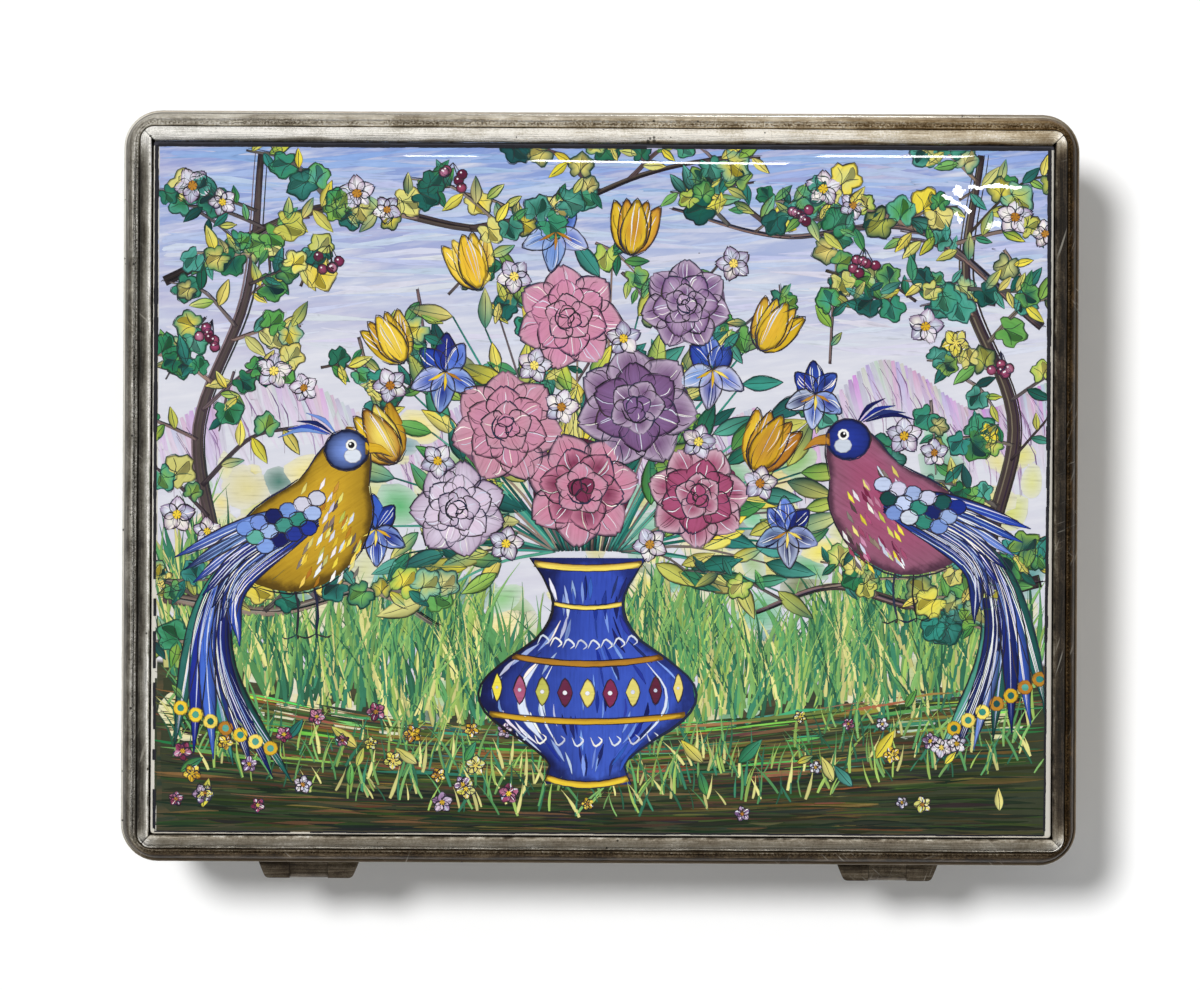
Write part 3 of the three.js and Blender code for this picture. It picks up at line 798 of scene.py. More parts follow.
def makeGlaze():
    # The clear glaze lies smooth over every brush mark: its slope is that of the dome, with a steeper
    # shoulder along the long sides and a slight waviness
    tree, given, result = newGroup("glaze", [("Vector", "Vector", None)], [("Normal", "Vector")])
    halves = plaque["halfLength"], plaque["halfWidth"]
    split = addNode(tree, "ShaderNodeSeparateXYZ", {0: given["Vector"]}).outputs
    shares = [times(split[axis], 1000 / halves[axis]) for axis in (0, 1)]
    falls = [minus(1.0, times(share, share), clamp=True) for share in shares]
    waves = addNode(tree, "ShaderNodeTexNoise", {"Vector": given["Vector"], "Scale": glaze["wavesPerMetre"],
                                                 "Detail": 2.0}).outputs["Color"]
    waves = addNode(tree, "ShaderNodeSeparateColor", {0: waves}).outputs
    slopes = []
    for axis in (0, 1):
        slope = times(times(shares[axis], 2 * plaque["crown"] / halves[axis]), falls[1 - axis])
        wave = times(minus(waves[axis], 0.5), glaze["waveSlope"])
        slopes.append(plus(slope, wave))
    inner, steep = 1 - glaze["shoulder"] / halves[1], glaze["shoulderSlope"]
    above = rescale(shares[1], inner, 1.0, 0.0, steep, True)
    below = rescale(shares[1], -inner, -1.0, 0.0, -steep, True)
    slopes[1] = plus(slopes[1], plus(above, below))
    leaning = addNode(tree, "ShaderNodeCombineXYZ", {0: slopes[0], 1: slopes[1], 2: 1.0}).outputs[0]
    turned = addNode(tree, "ShaderNodeVectorTransform", {"Vector": leaning}, vector_type="NORMAL",
                     convert_from="OBJECT", convert_to="WORLD").outputs[0]
    normal = addNode(tree, "ShaderNodeVectorMath", {0: turned}, operation="NORMALIZE").outputs[0]
    link(normal, result["Normal"])
    return tree


glazeNormal = makeGlaze()


def enamelGround():
    # Pale sky wash, streaked cobalt above, milky below; bare enamel and broken dark line at the ends, the
    # bare cream greyed a little as painted shade from the bead
    material, tree, shader = newMaterial("enamel ground", Specular_IOR_Level=0.1, Roughness=0.6,
                                         Coat_Weight=1.0, Coat_Roughness=0.0)
    where = addNode(tree, "ShaderNodeTexCoord").outputs["Object"]
    split = addNode(tree, "ShaderNodeSeparateXYZ", {0: where}).outputs
    wash = speckle(stretched(where, (28, 90, 60)), 1.0, 5.0, 0.6)
    fine = speckle(stretched(where, (120, 900, 300), 0.12), 1.0, 4.0, 0.6)
    height = plus(split[1], times(minus(wash, 0.5), 0.04))
    colour = blendColour(rescale(height, 0.012, 0.05, smooth=True), tone(208, 209, 219), tone(128, 150, 205))
    colour = blendColour(rescale(fine, 0.42, 0.72, 0.0, 0.75), colour, tone(222, 222, 228))
    colour = blendColour(rescale(wash, 0.52, 0.7, 0.0, 0.5), colour, tone(190, 178, 202))
    bank = minus(times(maths("ABSOLUTE", split[0], 0.0), 0.1), 0.032)
    soil = blendColour(rescale(fine, 0.35, 0.7), tone(40, 54, 42), tone(86, 74, 50))
    colour = blendColour(rescale(minus(bank, split[1]), -0.0003, 0.0003), colour, soil)
    away = maths("ABSOLUTE", minus(split[0], 0.000325), 0.0)
    grit = minus(speckle(where, 700.0, 3.0), 0.5)
    # Bare cream at the sides and foot, greyed a little as painted shade from the bead, and a dark line along
    # the top
    for out, low, high, shade in ((away, 0.0649, 0.06505, (204, 200, 190)),
                                  (split[1], 0.04962, 0.04982, (58, 58, 66)),
                                  (times(split[1], -1.0), 0.05048, 0.05058, (206, 200, 188))):
        past = plus(rescale(out, low, high), grit, clamp=True)
        colour = blendColour(rescale(past, 0.45, 0.6), colour, tone(*shade))
    holes = useGroup(pits, {"Vector": where, "Per mm": 0.22, "Share": 0.3, "Size": 0.05})["Mask"]
    colour = blendColour(holes, colour, tone(40, 38, 44))
    link(colour, shader["Base Color"])
    link(useGroup(glazeNormal, {"Vector": where})["Normal"], shader["Coat Normal"])
    return material


def enamelColours():
    # Painted marks: colour from the mark, darker where it pools at the rim, thinner along the hair lines
    material, tree, shader = newMaterial("enamel colours", Specular_IOR_Level=0.1, Roughness=0.6,
                                         Coat_Weight=1.0, Coat_Roughness=0.0)
    where = addNode(tree, "ShaderNodeTexCoord").outputs
    tint = addNode(tree, "ShaderNodeAttribute", attribute_name="tint").outputs["Color"]
    rimOf = addNode(tree, "ShaderNodeAttribute", attribute_name="rim").outputs["Fac"]
    shadeOf = addNode(tree, "ShaderNodeAttribute", attribute_name="shade").outputs["Fac"]
    hairs = useGroup(streaks, {"Vector": where["UV"], "Per mm along": 0.22, "Per mm across": 2.6})["Value"]
    mottle = speckle(where["Object"], 420.0, 4.0, 0.6)
    pooled = plus(rimOf, times(minus(mottle, 0.5), 0.35))
    dark = blendColour(1.0, tint, tone(150, 146, 158), "MULTIPLY")
    colour = blendColour(rescale(pooled, 0.04, 0.24, smooth=True), dark, tint)
    thin = rescale(hairs, 0.5, 0.78, 0.0, 0.42)
    colour = blendColour(thin, colour, tone(226, 228, 236), "SOFT_LIGHT")
    colour = blendColour(rescale(hairs, 0.46, 0.26, 0.0, 0.3), colour, tone(40, 42, 60), "MULTIPLY")
    colour = blendColour(rescale(mottle, 0.5, 0.8, 0.0, 0.35), colour, tone(235, 235, 240), "SOFT_LIGHT")
    value = plus(times(shadeOf, 0.7), 1.0)
    colour = addNode(tree, "ShaderNodeHueSaturation", {"Color": colour, "Value": value}).outputs[0]
    link(colour, shader["Base Color"])
    link(useGroup(glazeNormal, {"Vector": where["Object"]})["Normal"], shader["Coat Normal"])
    return material


groundEnamel, paintedEnamel = enamelGround(), enamelColours()


def makePlaque():
    d = plaque
    countX, countY = int(2 * d["halfLength"] / d["spacing"]), int(2 * d["halfWidth"] / d["spacing"])

    def stops(count, half):
        # Even steps, closer towards the rounded edge
        even = np.linspace(-half + d["edgeRound"], half - d["edgeRound"], count)
        near = np.array([0.0, 0.06, 0.16, 0.32, 0.55, 0.85])
        return np.concatenate([-half + near, even, (half - near)[::-1]])

    xs, ys = stops(countX, d["halfLength"]), stops(countY, d["halfWidth"])
    gridX, gridY = np.meshgrid(xs, ys, indexing="ij")
    # The corners are rounded by drawing the outermost points in
    r = d["cornerRadius"]
    overX = np.maximum(abs(gridX) - (d["halfLength"] - r), 0)
    overY = np.maximum(abs(gridY) - (d["halfWidth"] - r), 0)
    reach = np.hypot(overX, overY)
    pull = np.where(reach > 1e-9, np.maximum(overX, overY) / np.maximum(reach, 1e-9), 1)
    px = np.sign(gridX) * (abs(gridX) - overX * (1 - pull))
    py = np.sign(gridY) * (abs(gridY) - overY * (1 - pull))
    pz = plaqueHeight(gridX, gridY)
    px, py = settled(px, py, 1)
    points = np.stack([px, py, pz], -1).reshape(-1, 3)
    w, h = len(xs), len(ys)
    faces = [(i * h + j, (i + 1) * h + j, (i + 1) * h + j + 1, i * h + j + 1)
             for i in range(w - 1) for j in range(h - 1)]
    border = [i * h for i in range(w)] + [(w - 1) * h + j for j in range(1, h)]
    border += [i * h + h - 1 for i in range(w - 2, -1, -1)] + [j for j in range(h - 2, 0, -1)]
    base = len(points)
    lower = points[border].copy()
    lower[:, 2] = d["foot"]
    points = np.concatenate([points, lower])
    n = len(border)
    faces += [(border[(k + 1) % n], border[k], base + k, base + (k + 1) % n) for k in range(n)]
    faces.append(tuple(base + k for k in range(n))[::-1])
    piece = meshPiece("enamel_ground", (points * mm).tolist(), faces, None, groundEnamel)
    fit(piece, "lid", "enamel", "enamel_plaque")


makePlaque()
print("plaque made")


picture = {"left": -65.1, "right": 65.0, "lowerRight": 64.65, "foot": -50.2, "top": 49.68}
layerStep = 0.003  # each coat of colour lies this much higher, in mm
markHeight = 0.006
pigment = {
    "cobalt": ((28, 48, 140), (52, 84, 182), (112, 146, 216), (20, 30, 92)),
    "sky": ((120, 148, 208), (150, 172, 218), (184, 196, 226), (204, 208, 226)),
    "leaf": ((42, 118, 74), (86, 156, 74), (30, 98, 78), (142, 182, 78), (58, 138, 104), (108, 168, 84)),
    "teal": ((26, 94, 84), (50, 134, 120), (84, 160, 142), (20, 72, 70)),
    "lemon": ((220, 206, 110), (232, 214, 70), (206, 204, 124), (196, 196, 92)),
    "ochre": ((212, 168, 40), (232, 196, 52), (176, 120, 36), (240, 214, 96)),
    "maroon": ((122, 40, 72), (160, 74, 108), (92, 28, 56), (196, 128, 156)),
    "mauve": ((142, 112, 150), (172, 146, 178), (116, 84, 128), (206, 188, 208)),
    "bark": ((92, 82, 84), (118, 104, 98), (70, 58, 56), (136, 118, 104)),
    "earth": ((58, 62, 40), (78, 82, 48), (84, 72, 50), (52, 60, 44), (66, 56, 48), (98, 96, 56)),
    "moss": ((36, 58, 34), (52, 76, 38), (28, 46, 32), (68, 88, 44), (44, 62, 30)),
    "loam": ((104, 84, 48), (124, 100, 56), (88, 68, 40), (140, 116, 66)),
    "white": ((232, 232, 236), (214, 218, 230), (240, 236, 226), (198, 204, 220)),
    "leafInk": ((30, 62, 50), (38, 50, 44), (24, 74, 62), (40, 42, 48)),
    "ink": ((38, 36, 46), (30, 28, 36), (52, 44, 46), (36, 40, 64)),
}


def through(points, count):
    # A smooth line through a few points
    p = np.asarray(points, float)
    p = np.vstack([2 * p[0] - p[1], p, 2 * p[-1] - p[-2]])
    t = np.linspace(0, len(p) - 3 - 1e-9, count)
    i = t.astype(int)
    f = (t - i)[:, None]
    a, b, c, d = p[i], p[i + 1], p[i + 2], p[i + 3]
    bend, twist = 2 * a - 5 * b + 4 * c - d, 3 * b - a - 3 * c + d
    return 0.5 * (2 * b + (c - a) * f + bend * f ** 2 + twist * f ** 3)


def normalsTo(line):
    along = np.gradient(line, axis=0)
    along /= np.maximum(np.linalg.norm(along, axis=1), 1e-9)[:, None]
    return np.stack([-along[:, 1], along[:, 0]], 1)


def halfWidths(widths, count):
    # Half the width at each place along a mark, from one number or a few
    widths = np.atleast_1d(widths)
    return np.interp(np.linspace(0, 1, count), np.linspace(0, 1, len(widths)), widths) / 2


def withinPicture(xy):
    # The picture ends short of the plaque's edge, further in at the lower right, where bare enamel shows
    d = picture
    right = np.interp(xy[:, 1], (-50, -25, 0), (d["lowerRight"], d["lowerRight"], d["right"]))
    return np.stack([np.clip(xy[:, 0], d["left"], right), np.clip(xy[:, 1], d["foot"], d["top"])], 1)


class Marks:
    # Collects brush marks, each a thin closed slab lying on the plaque

    def __init__(self, seed):
        self.dice = random.Random(seed)
        self.empty()

    def empty(self):
        self.points, self.faces, self.uvs, self.tints, self.rims = [], [], [], [], []
        self.count = 0

    def some(self, low, high):
        return self.dice.uniform(low, high)

    def oneOf(self, options):
        return self.dice.choice(options)

    def chance(self):
        return self.dice.random()

    def pick(self, name, spread=10):
        shade = self.oneOf(pigment[name])
        change = self.some(-spread, spread)
        return tuple(min(max(c + change + self.some(-spread, spread) * 0.4, 8), 250) for c in shade)

    def add(self, xy, rise, rims, tints, uv, faces):
        z = plaqueHeight(xy[:, 0], xy[:, 1]) + rise
        x, y = settled(xy[:, 0], xy[:, 1], 1)
        self.points.append(np.stack([x, y, z], 1))
        self.rims.append(rims)
        self.tints.append(tints)
        for face in faces:
            self.faces.append(tuple(self.count + k for k in face))
            self.uvs += [uv[k] for k in face]
        self.count += len(xy)

    def stroke(self, spine, width, colour, level, tip=None, across=2, sides=None, soft=False, border=False):
        spine = np.asarray(spine, float)
        n = len(spine)
        along = np.linspace(0, 1, n)
        half = np.maximum(halfWidths(width, n), 0.03)
        places = np.linspace(-1, 1, across + 1)
        xy = spine[:, None] + normalsTo(spine)[:, None] * (half[:, None] * places[None])[..., None]
        xy = xy.reshape(-1, 2)
        xy = xy if border else withinPicture(xy)
        ends = np.minimum(np.minimum(along, 1 - along) * 6, 1)
        rims = ((1 - abs(places))[None] * np.ones((n, 1))) * ends[:, None]
        rise = level * layerStep + markHeight * (1 - abs(places))[None] * (0.35 + 0.65 * ends[:, None])
        first, last = np.array(tone(*colour)), np.array(tone(*(tip or colour)))
        tints = first + (last - first) * along[:, None, None] + np.zeros((n, across + 1, 4))
        if sides is not None:
            other = np.array(tone(*sides))
            tints = tints + (other - tints) * np.clip(places, 0, 1)[None, :, None]
        run = np.concatenate([[0], np.cumsum(np.linalg.norm(np.diff(spine, axis=0), axis=1))])
        start = self.some(0, 400)
        w = across + 1
        uv = [(start + run[i], start * 0.3 + places[j] * half[i]) for i in range(n) for j in range(w)]
        faces = [(i * w + j, (i + 1) * w + j, (i + 1) * w + j + 1, i * w + j + 1)[::-1]
                 for i in range(n - 1) for j in range(across)]
        faces += [(i * w, i * w + across, (i + 1) * w + across, (i + 1) * w)[::-1] for i in range(n - 1)]
        faces += [tuple(range(w))[::-1], tuple((n - 1) * w + j for j in range(w))]
        rims = np.ones_like(rims) if soft else rims
        self.add(xy, rise.ravel(), rims.ravel(), tints.reshape(-1, 4), uv, faces)

    def blob(self, outline, colour, level, edge=None, turn=0.0, soft=False):
        outline = withinPicture(np.asarray(outline, float))
        n = len(outline)
        centre = outline.mean(0)
        shares = (0.5, 0.86, 1.0)  # rings of points, as shares of the way from the middle to the outline
        xy = np.vstack([centre[None]] + [centre + (outline - centre) * s for s in shares])
        rims = np.concatenate([[1.0]] + [np.full(n, 1 - s) * 1.6 for s in shares])
        swell = np.concatenate([[1.0]] + [np.full(n, min((1 - s) * 3, 1)) for s in shares])
        rise = level * layerStep + markHeight * swell
        inner, outer = np.array(tone(*colour)), np.array(tone(*(edge or colour)))
        tints = [np.tile(inner + (outer - inner) * s ** 1.5, (n, 1)) for s in shares]
        tints = np.vstack([inner[None]] + tints)
        c, s = math.cos(turn), math.sin(turn)
        start = self.some(0, 400)
        uv = [(start + x * c + y * s, start * 0.3 - x * s + y * c) for x, y in xy]
        faces = [(0, 1 + k, 1 + (k + 1) % n) for k in range(n)]
        for r in range(len(shares) - 1):
            a, b = 1 + r * n, 1 + (r + 1) * n
            faces += [(a + k, b + k, b + (k + 1) % n, a + (k + 1) % n) for k in range(n)]
        a = 1 + (len(shares) - 1) * n
        faces.append(tuple(a + k for k in range(n))[::-1])
        turned = np.cross(outline - centre, np.roll(outline, -1, 0) - centre).sum()
        if turned < 0:
            faces = [face[::-1] for face in faces]
        self.add(xy, rise, np.ones_like(rims) if soft else np.minimum(rims, 1), tints, uv, faces)

    def ink(self, points, level, width=0.24, count=10, shade="ink"):
        line = through(points, count)
        line += np.array([[self.some(-0.05, 0.05), self.some(-0.05, 0.05)] for _ in range(count)])
        w = width * self.some(0.75, 1.25)
        self.stroke(line, [w * 0.3, w, w * 0.7, w * 1.1, w * 0.35], self.pick(shade, 6), level)

    def inkAround(self, outline, level, width=0.22, parts=3, skip=0.15, shade="ink"):
        outline = np.asarray(outline)
        n = len(outline)
        step = max(n // parts, 3)
        for start in range(0, n, step):
            if self.chance() < skip:
                continue
            run = [outline[(start + k) % n] for k in range(step + 1)]
            centre = outline.mean(0)
            grow = 1 + self.some(0.0, 0.04)
            self.ink([centre + (p - centre) * grow for p in run], level, width, max(len(run), 6), shade)

    def finish(self, name):
        # Makes the piece, and leaves the set of marks empty for the next one
        points = (np.concatenate(self.points) * mm).tolist()
        piece = meshPiece(name, points, self.faces, self.uvs, paintedEnamel,
                          {"rim": np.concatenate(self.rims)}, 50, {"tint": np.concatenate(self.tints)})
        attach(piece, "lid")
        print(name, len(piece.data.polygons), "faces")
        self.empty()


def turnedBy(points, angle, x=0.0, y=0.0, size=1.0):
    c, s = math.cos(angle) * size, math.sin(angle) * size
    return [(x + px * c - py * s, y + px * s + py * c) for px, py in points]


def ragged(marks, x, y, radius, count=16, rough=0.12, squash=1.0, angle=0.0):
    ring = [(math.cos(2 * math.pi * k / count) * radius * (1 + marks.some(-rough, rough)),
             math.sin(2 * math.pi * k / count) * radius * squash * (1 + marks.some(-rough, rough)))
            for k in range(count)]
    return turnedBy(ring, angle, x, y)


def oval(x, y, halfX, halfY, count):
    turns = np.linspace(0, 2 * math.pi, count + 1)[:-1]
    return [(x + halfX * math.cos(a), y + halfY * math.sin(a)) for a in turns]


def mixed(shade, target, share):
    # Each channel moved towards one shade of grey
    return tuple(c + (target - c) * share for c in shade)


def darker(shade, share):
    return tuple(c * share for c in shade)


def paintSky(marks):
    for k in range(460):
        x, y = marks.some(-64, 64), marks.some(20, 49.5)
        high = (y - 20) / 30
        if marks.chance() > 0.35 + 0.65 * high:
            continue
        long = marks.some(8, 26)
        slope = marks.some(-0.06, 0.08)
        blue = min(max(high * 1.15 - 0.3 + marks.some(-0.25, 0.25), 0), 1)
        shade = tuple(pale + (deep - pale) * blue + marks.some(-4, 4)
                      for pale, deep in zip((206, 208, 222), (136, 164, 216)))
        line = through([(x - long / 2, y - slope * long), (x, y + marks.some(-0.4, 0.4)),
                        (x + long / 2, y + slope * long)], 7)
        marks.stroke(line, [0.1, 0.5, 1.0, 0.6, 0.1], shade, 1 + k % 4, soft=True)


def paintHills(marks):
    # Two far ridges, hatched down their slopes
    for peaks, shade, level in (([(-65, 8), (-48, 17), (-30, 9), (-12, 15), (8, 7), (22, 12)],
                                 (186, 158, 196), 5),
                                ([(-20, 2), (2, 12), (24, 5), (40, 19), (54, 12), (65, 16)],
                                 (170, 140, 184), 6)):
        ridge = through(peaks, 120)
        for x, y in ridge:
            long = marks.some(5, 14)
            lean = marks.some(0.1, 0.5)
            pale = tuple(c + (220 - c) * marks.some(0.0, 0.75) for c in shade)
            line = through([(x, y), (x + lean * long * 0.5, y - long * 0.55), (x + lean * long, y - long)], 7)
            marks.stroke(line, [0.5, 1.3, 0.9, 0.1], pale, level, tip=(214, 208, 222), soft=True)
        for k in range(100):
            x, y = ridge[marks.dice.randrange(len(ridge))]
            long = marks.some(3, 9)
            y -= marks.some(0, 5)
            line = through([(x, y), (x + long * 0.3, y - long * 0.5), (x + long * 0.35, y - long)], 5)
            marks.stroke(line, [0.06, 0.22, 0.05], marks.pick("mauve", 12), level + 1)


def paintWashes(marks):
    # Yellow and green patches behind the foliage
    for k in range(330):
        x, y = marks.some(-63, 63), marks.some(-34, 10)
        if marks.chance() < (y + 12) / 30:
            continue
        shade = marks.pick(marks.oneOf(("lemon", "lemon", "leaf")), 8)
        shade = tuple(c + (220 - c) * marks.some(0.1, 0.5) for c in shade)
        size = marks.some(1.6, 4.2)
        outline = through(ragged(marks, x, y, size, 9, 0.2, marks.some(0.5, 0.9), marks.some(0, 3.1)), 18)
        marks.blob(outline, shade, 7 + k % 3, soft=True, edge=mixed(shade, 214, 0.7))


def paintGround(marks):
    edge = through([(-65, -27), (-45, -31), (-25, -34), (0, -35), (24, -33), (44, -30), (65, -28)], 60)

    def top(x):
        return float(np.interp(x, edge[:, 0], edge[:, 1]))

    def streak(x, y, long, wide, shade, level):
        slope = (top(x + 6) - top(x - 6)) / 12 * (y + 50) / (top(x) + 50) + marks.some(-0.03, 0.03)
        line = through([(x - long / 2, y - slope * long / 2), (x, y + marks.some(-0.25, 0.25)),
                        (x + long / 2, y + slope * long / 2)], 9)
        marks.stroke(line, [0.05, wide, wide * 0.8, 0.05], shade, level, soft=True)

    for x in np.linspace(-61, 61, 12):
        y = (top(x) - 50) / 2
        marks.stroke([(x - 5.6, y), (x, y), (x + 5.6, y)], top(x) + 49.9, (50, 56, 38), 7,
                     across=6, soft=True)
    for k in range(1500):
        x, share = marks.some(-61, 61), marks.chance()
        y = -49.7 + share * (top(x) + 49.9)
        # Darkest along the foot, with olive and brown higher up
        low = share < 0.5
        name = marks.oneOf(("moss", "moss", "moss", "earth", "loam") if low else
                           ("moss", "earth", "loam", "loam", "leaf"))
        shade = tuple(c * (0.62 + 0.5 * share) * marks.some(0.75, 1.2) for c in marks.pick(name, 5))
        streak(x, y, marks.some(5, 17), marks.some(0.15, 0.6), shade, 9 + k % 9)
    return top


# Each stretch of the border: its two ends and its width in mm, and how much of it is whole
borderLines = (((-65.22, 49.9), (-65.22, 8), 0.66, 0.98), ((-65.22, 8), (-65.15, -50), 0.5, 0.87),
               ((65.0, 49.9), (65.04, 6), 0.68, 1.0), ((65.04, 6), (64.82, -22), 0.54, 0.95),
               ((64.82, -22), (64.72, -49.5), 0.36, 0.84), ((-65, 49.9), (65.2, 49.9), 0.5, 0.97),
               ((-65.1, -50.18), (64.6, -50.18), 0.26, 0.99))


def paintBorder(marks, level):
    # A dark line round the picture, broken where the enamel has chipped
    for (x0, y0), (x1, y1), width, whole in borderLines:
        long = math.hypot(x1 - x0, y1 - y0)
        place = 0.0
        while place < long:
            step = min(marks.some(1.2, 3.6), long - place)
            if marks.chance() < whole:
                a, b = place / long, min((place + step * 1.04) / long, 1)
                w = width * marks.some(0.82, 1.1)
                drift = marks.some(-0.04, 0.04)
                line = [(x0 + (x1 - x0) * t + drift, y0 + (y1 - y0) * t + drift)
                        for t in np.linspace(a, b, 5)]
                marks.stroke(line, [w * 0.9, w, w * 0.92, w, w * 0.88], (30, 30, 36), level, soft=True,
                             border=True)
            place += step


def paintLeaf(marks, x, y, length, angle, name, level, wide=0.42):
    bend = marks.some(-0.18, 0.18) * length
    spine = through(turnedBy([(0, 0), (length * 0.5, bend * 0.6), (length, bend)], angle, x, y), 8)
    w = length * wide
    widths = [0.1, w * 0.75, w, w * 0.85, w * 0.5, 0.06]
    shade = marks.pick(name, 12)
    tip = marks.pick(marks.oneOf((name, name, "teal", "lemon")), 10)
    marks.stroke(spine, widths, shade, level, tip=tip, across=4, sides=darker(shade, 0.72))
    out = normalsTo(spine) * halfWidths(widths, 8)[:, None] * 1.04
    for side in (-1, 1):
        if marks.chance() < 0.6:
            marks.ink(spine + out * side, level + 2, 0.14, 8, "leafInk")
    marks.ink(spine[:7], level + 3, 0.12, 6, "leafInk")


def paintLobedLeaf(marks, x, y, size, angle, name, level):
    # Five lobes round the leaf and a notch at its foot
    ring = []
    for k in range(26):
        a = 2 * math.pi * k / 26
        swell = 0.66 + 0.34 * abs(math.cos(2.5 * a)) ** 0.7
        notch = 1 - 0.55 * math.exp(-((a - math.pi) / 0.35) ** 2)
        r = size * swell * notch * (1 + marks.some(-0.07, 0.07))
        ring.append((r * math.cos(a) + size * 0.55, r * math.sin(a) * 0.95))
    outline = turnedBy(ring, angle, x, y)
    shade = marks.pick(name, 12)
    marks.blob(outline, shade, level, edge=marks.pick(marks.oneOf((name, "teal", "leaf")), 10), turn=angle)
    half = turnedBy([(0.2 * size, 0), (0.7 * size, -0.5 * size), (1.2 * size, -0.3 * size),
                     (1.35 * size, 0.0), (0.8 * size, -0.02 * size)], angle, x, y)
    marks.blob(through(half + [half[0]], 12)[:-1], darker(shade, 0.66), level + 1, turn=angle)
    marks.inkAround(outline, level + 2, 0.15, 5, 0.3, "leafInk")
    for turn in (-0.75, 0.0, 0.75):
        end = turnedBy([(0.12 * size, 0), (0.6 * size, math.sin(turn) * 0.3 * size),
                        (size * 1.25 * math.cos(turn), size * math.sin(turn))],
                       angle, x, y)
        marks.ink(end, level + 3, 0.12, 6, "leafInk")


def paintTwig(marks, points, width, level, leaves, size=3.4):
    line = through(points, 16)
    marks.stroke(line, [width, width * 0.8, width * 0.45], marks.pick("bark", 12), level, across=2)
    marks.ink(line[::3] + width * 0.42, level + 1, 0.16, 10)
    for k in range(leaves):
        place = line[int(3 + (len(line) - 4) * (k + marks.some(0, 0.6)) / leaves)]
        ahead = line[min(int(4 + (len(line) - 5) * (k + 0.5) / leaves), len(line) - 1)]
        heading = math.atan2(ahead[1] - place[1], ahead[0] - place[0] + 1e-6)
        angle = heading + (1 if k % 2 else -1) * marks.some(0.5, 1.3)
        name = marks.oneOf(("leaf", "teal", "lemon"))
        long = size * marks.some(0.75, 1.3)
        if marks.chance() < 0.4:
            paintLobedLeaf(marks, place[0], place[1], long * 0.62, angle, name, level + 2 + k % 4)
        else:
            paintLeaf(marks, place[0], place[1], long, angle, name, level + 2 + k % 4)


def paintTree(marks, points, width, level, twigs):
    line = through(points, 40)
    marks.stroke(line, [width, width * 0.85, width * 0.55, width * 0.35], marks.pick("bark", 6),
                 level, across=4, sides=(58, 48, 50))
    for shift in (-0.34, -0.1, 0.2, 0.42):
        marks.stroke(line + np.array([width * shift, 0]), [0.1, 0.3, 0.22, 0.3, 0.1],
                     marks.pick("bark" if shift < 0 else "ink", 20), level + 1)
    for k in range(twigs):
        i = int(5 + 33 * (k + marks.chance() * 0.7) / twigs)
        x, y = line[min(i, 39)]
        out = 1 if k % 2 else -1
        long = marks.some(8, 15)
        lean = marks.some(-0.1, 0.9)
        paintTwig(marks, [(x, y), (x + out * long * 0.5, y + long * lean * 0.6),
                          (x + out * long, y + long * lean * 0.75)],
                  marks.some(0.4, 0.8), level + 2 + k % 3, leaves=marks.dice.randint(5, 8))


def petalShape(length, width, notch):
    # Outline of a petal from its foot at the origin, along X
    side = [(length * t, width / 2 * math.sin(math.pi * t ** 0.75) ** 0.8)
            for t in np.linspace(0.02, 0.97, 7)]
    tip = [(length * (1 - notch), 0)] if notch else []
    return side + tip + [(px, -py) for px, py in side[::-1]]


def paintPetal(marks, x, y, length, width, angle, shade, level, edge=None, notch=0.0, hairs=3):
    outline = turnedBy(petalShape(length, width, notch), angle, x, y)
    marks.blob(outline, shade, level, edge=edge, turn=angle)
    for _ in range(hairs):
        side = marks.some(-0.3, 0.3)
        start = marks.some(0.05, 0.35)
        line = turnedBy([(length * start, width * side * 0.5), (length * 0.6, width * side),
                         (length * marks.some(0.75, 0.95), width * side * 0.7)], angle, x, y)
        hair = marks.pick("white", 12) if marks.chance() < 0.5 else darker(shade, 0.6)
        marks.stroke(through(line, 6), [0.06, 0.24, 0.1], hair, level + 1)
    marks.inkAround(outline, level + 2, 0.2, 3, 0.12)


def paintRose(marks, x, y, radius, kind, level):
    deep, mid, pale = (marks.pick(kind, 10) for _ in range(3))
    light = mixed(pale, 232, 0.45)
    marks.blob(ragged(marks, x, y, radius * 1.0, 20, 0.06), deep, level)
    start = marks.some(0, 6)
    for ring, (count, reach, size, shade, edge) in enumerate((
            (7, 0.42, 0.78, mid, light), (6, 0.2, 0.68, deep, mid), (5, 0.06, 0.5, mid, light),
            (3, 0.0, 0.3, deep, deep))):
        for k in range(count):
            a = start + ring * 0.5 + 2 * math.pi * k / count
            px, py = x + math.cos(a) * radius * reach, y + math.sin(a) * radius * reach
            paintPetal(marks, px, py, radius * size, radius * size * 1.15, a + marks.some(-0.2, 0.2), shade,
                       level + 1 + ring * 3 + k % 2, edge=edge, notch=0.08, hairs=3 if ring < 2 else 1)
    for turn in range(3):
        a = start + turn * 2.1
        r = radius * (0.12 + 0.09 * turn)
        marks.ink([(x + r * math.cos(a + t), y + r * math.sin(a + t)) for t in (0, 0.8, 1.6, 2.4)],
                  level + 15, 0.26, 8)


def paintTulip(marks, x, y, size, angle, kind, level):
    for lean, wide, shift in ((-0.42, 0.42, 0), (0.42, 0.42, 0), (-0.18, 0.4, 1), (0.2, 0.4, 1),
                              (0.0, 0.46, 2)):
        paintPetal(marks, x, y, size, size * wide, angle + lean, marks.pick(kind, 12), level + shift * 2,
                   edge=marks.pick(kind, 14), hairs=4)


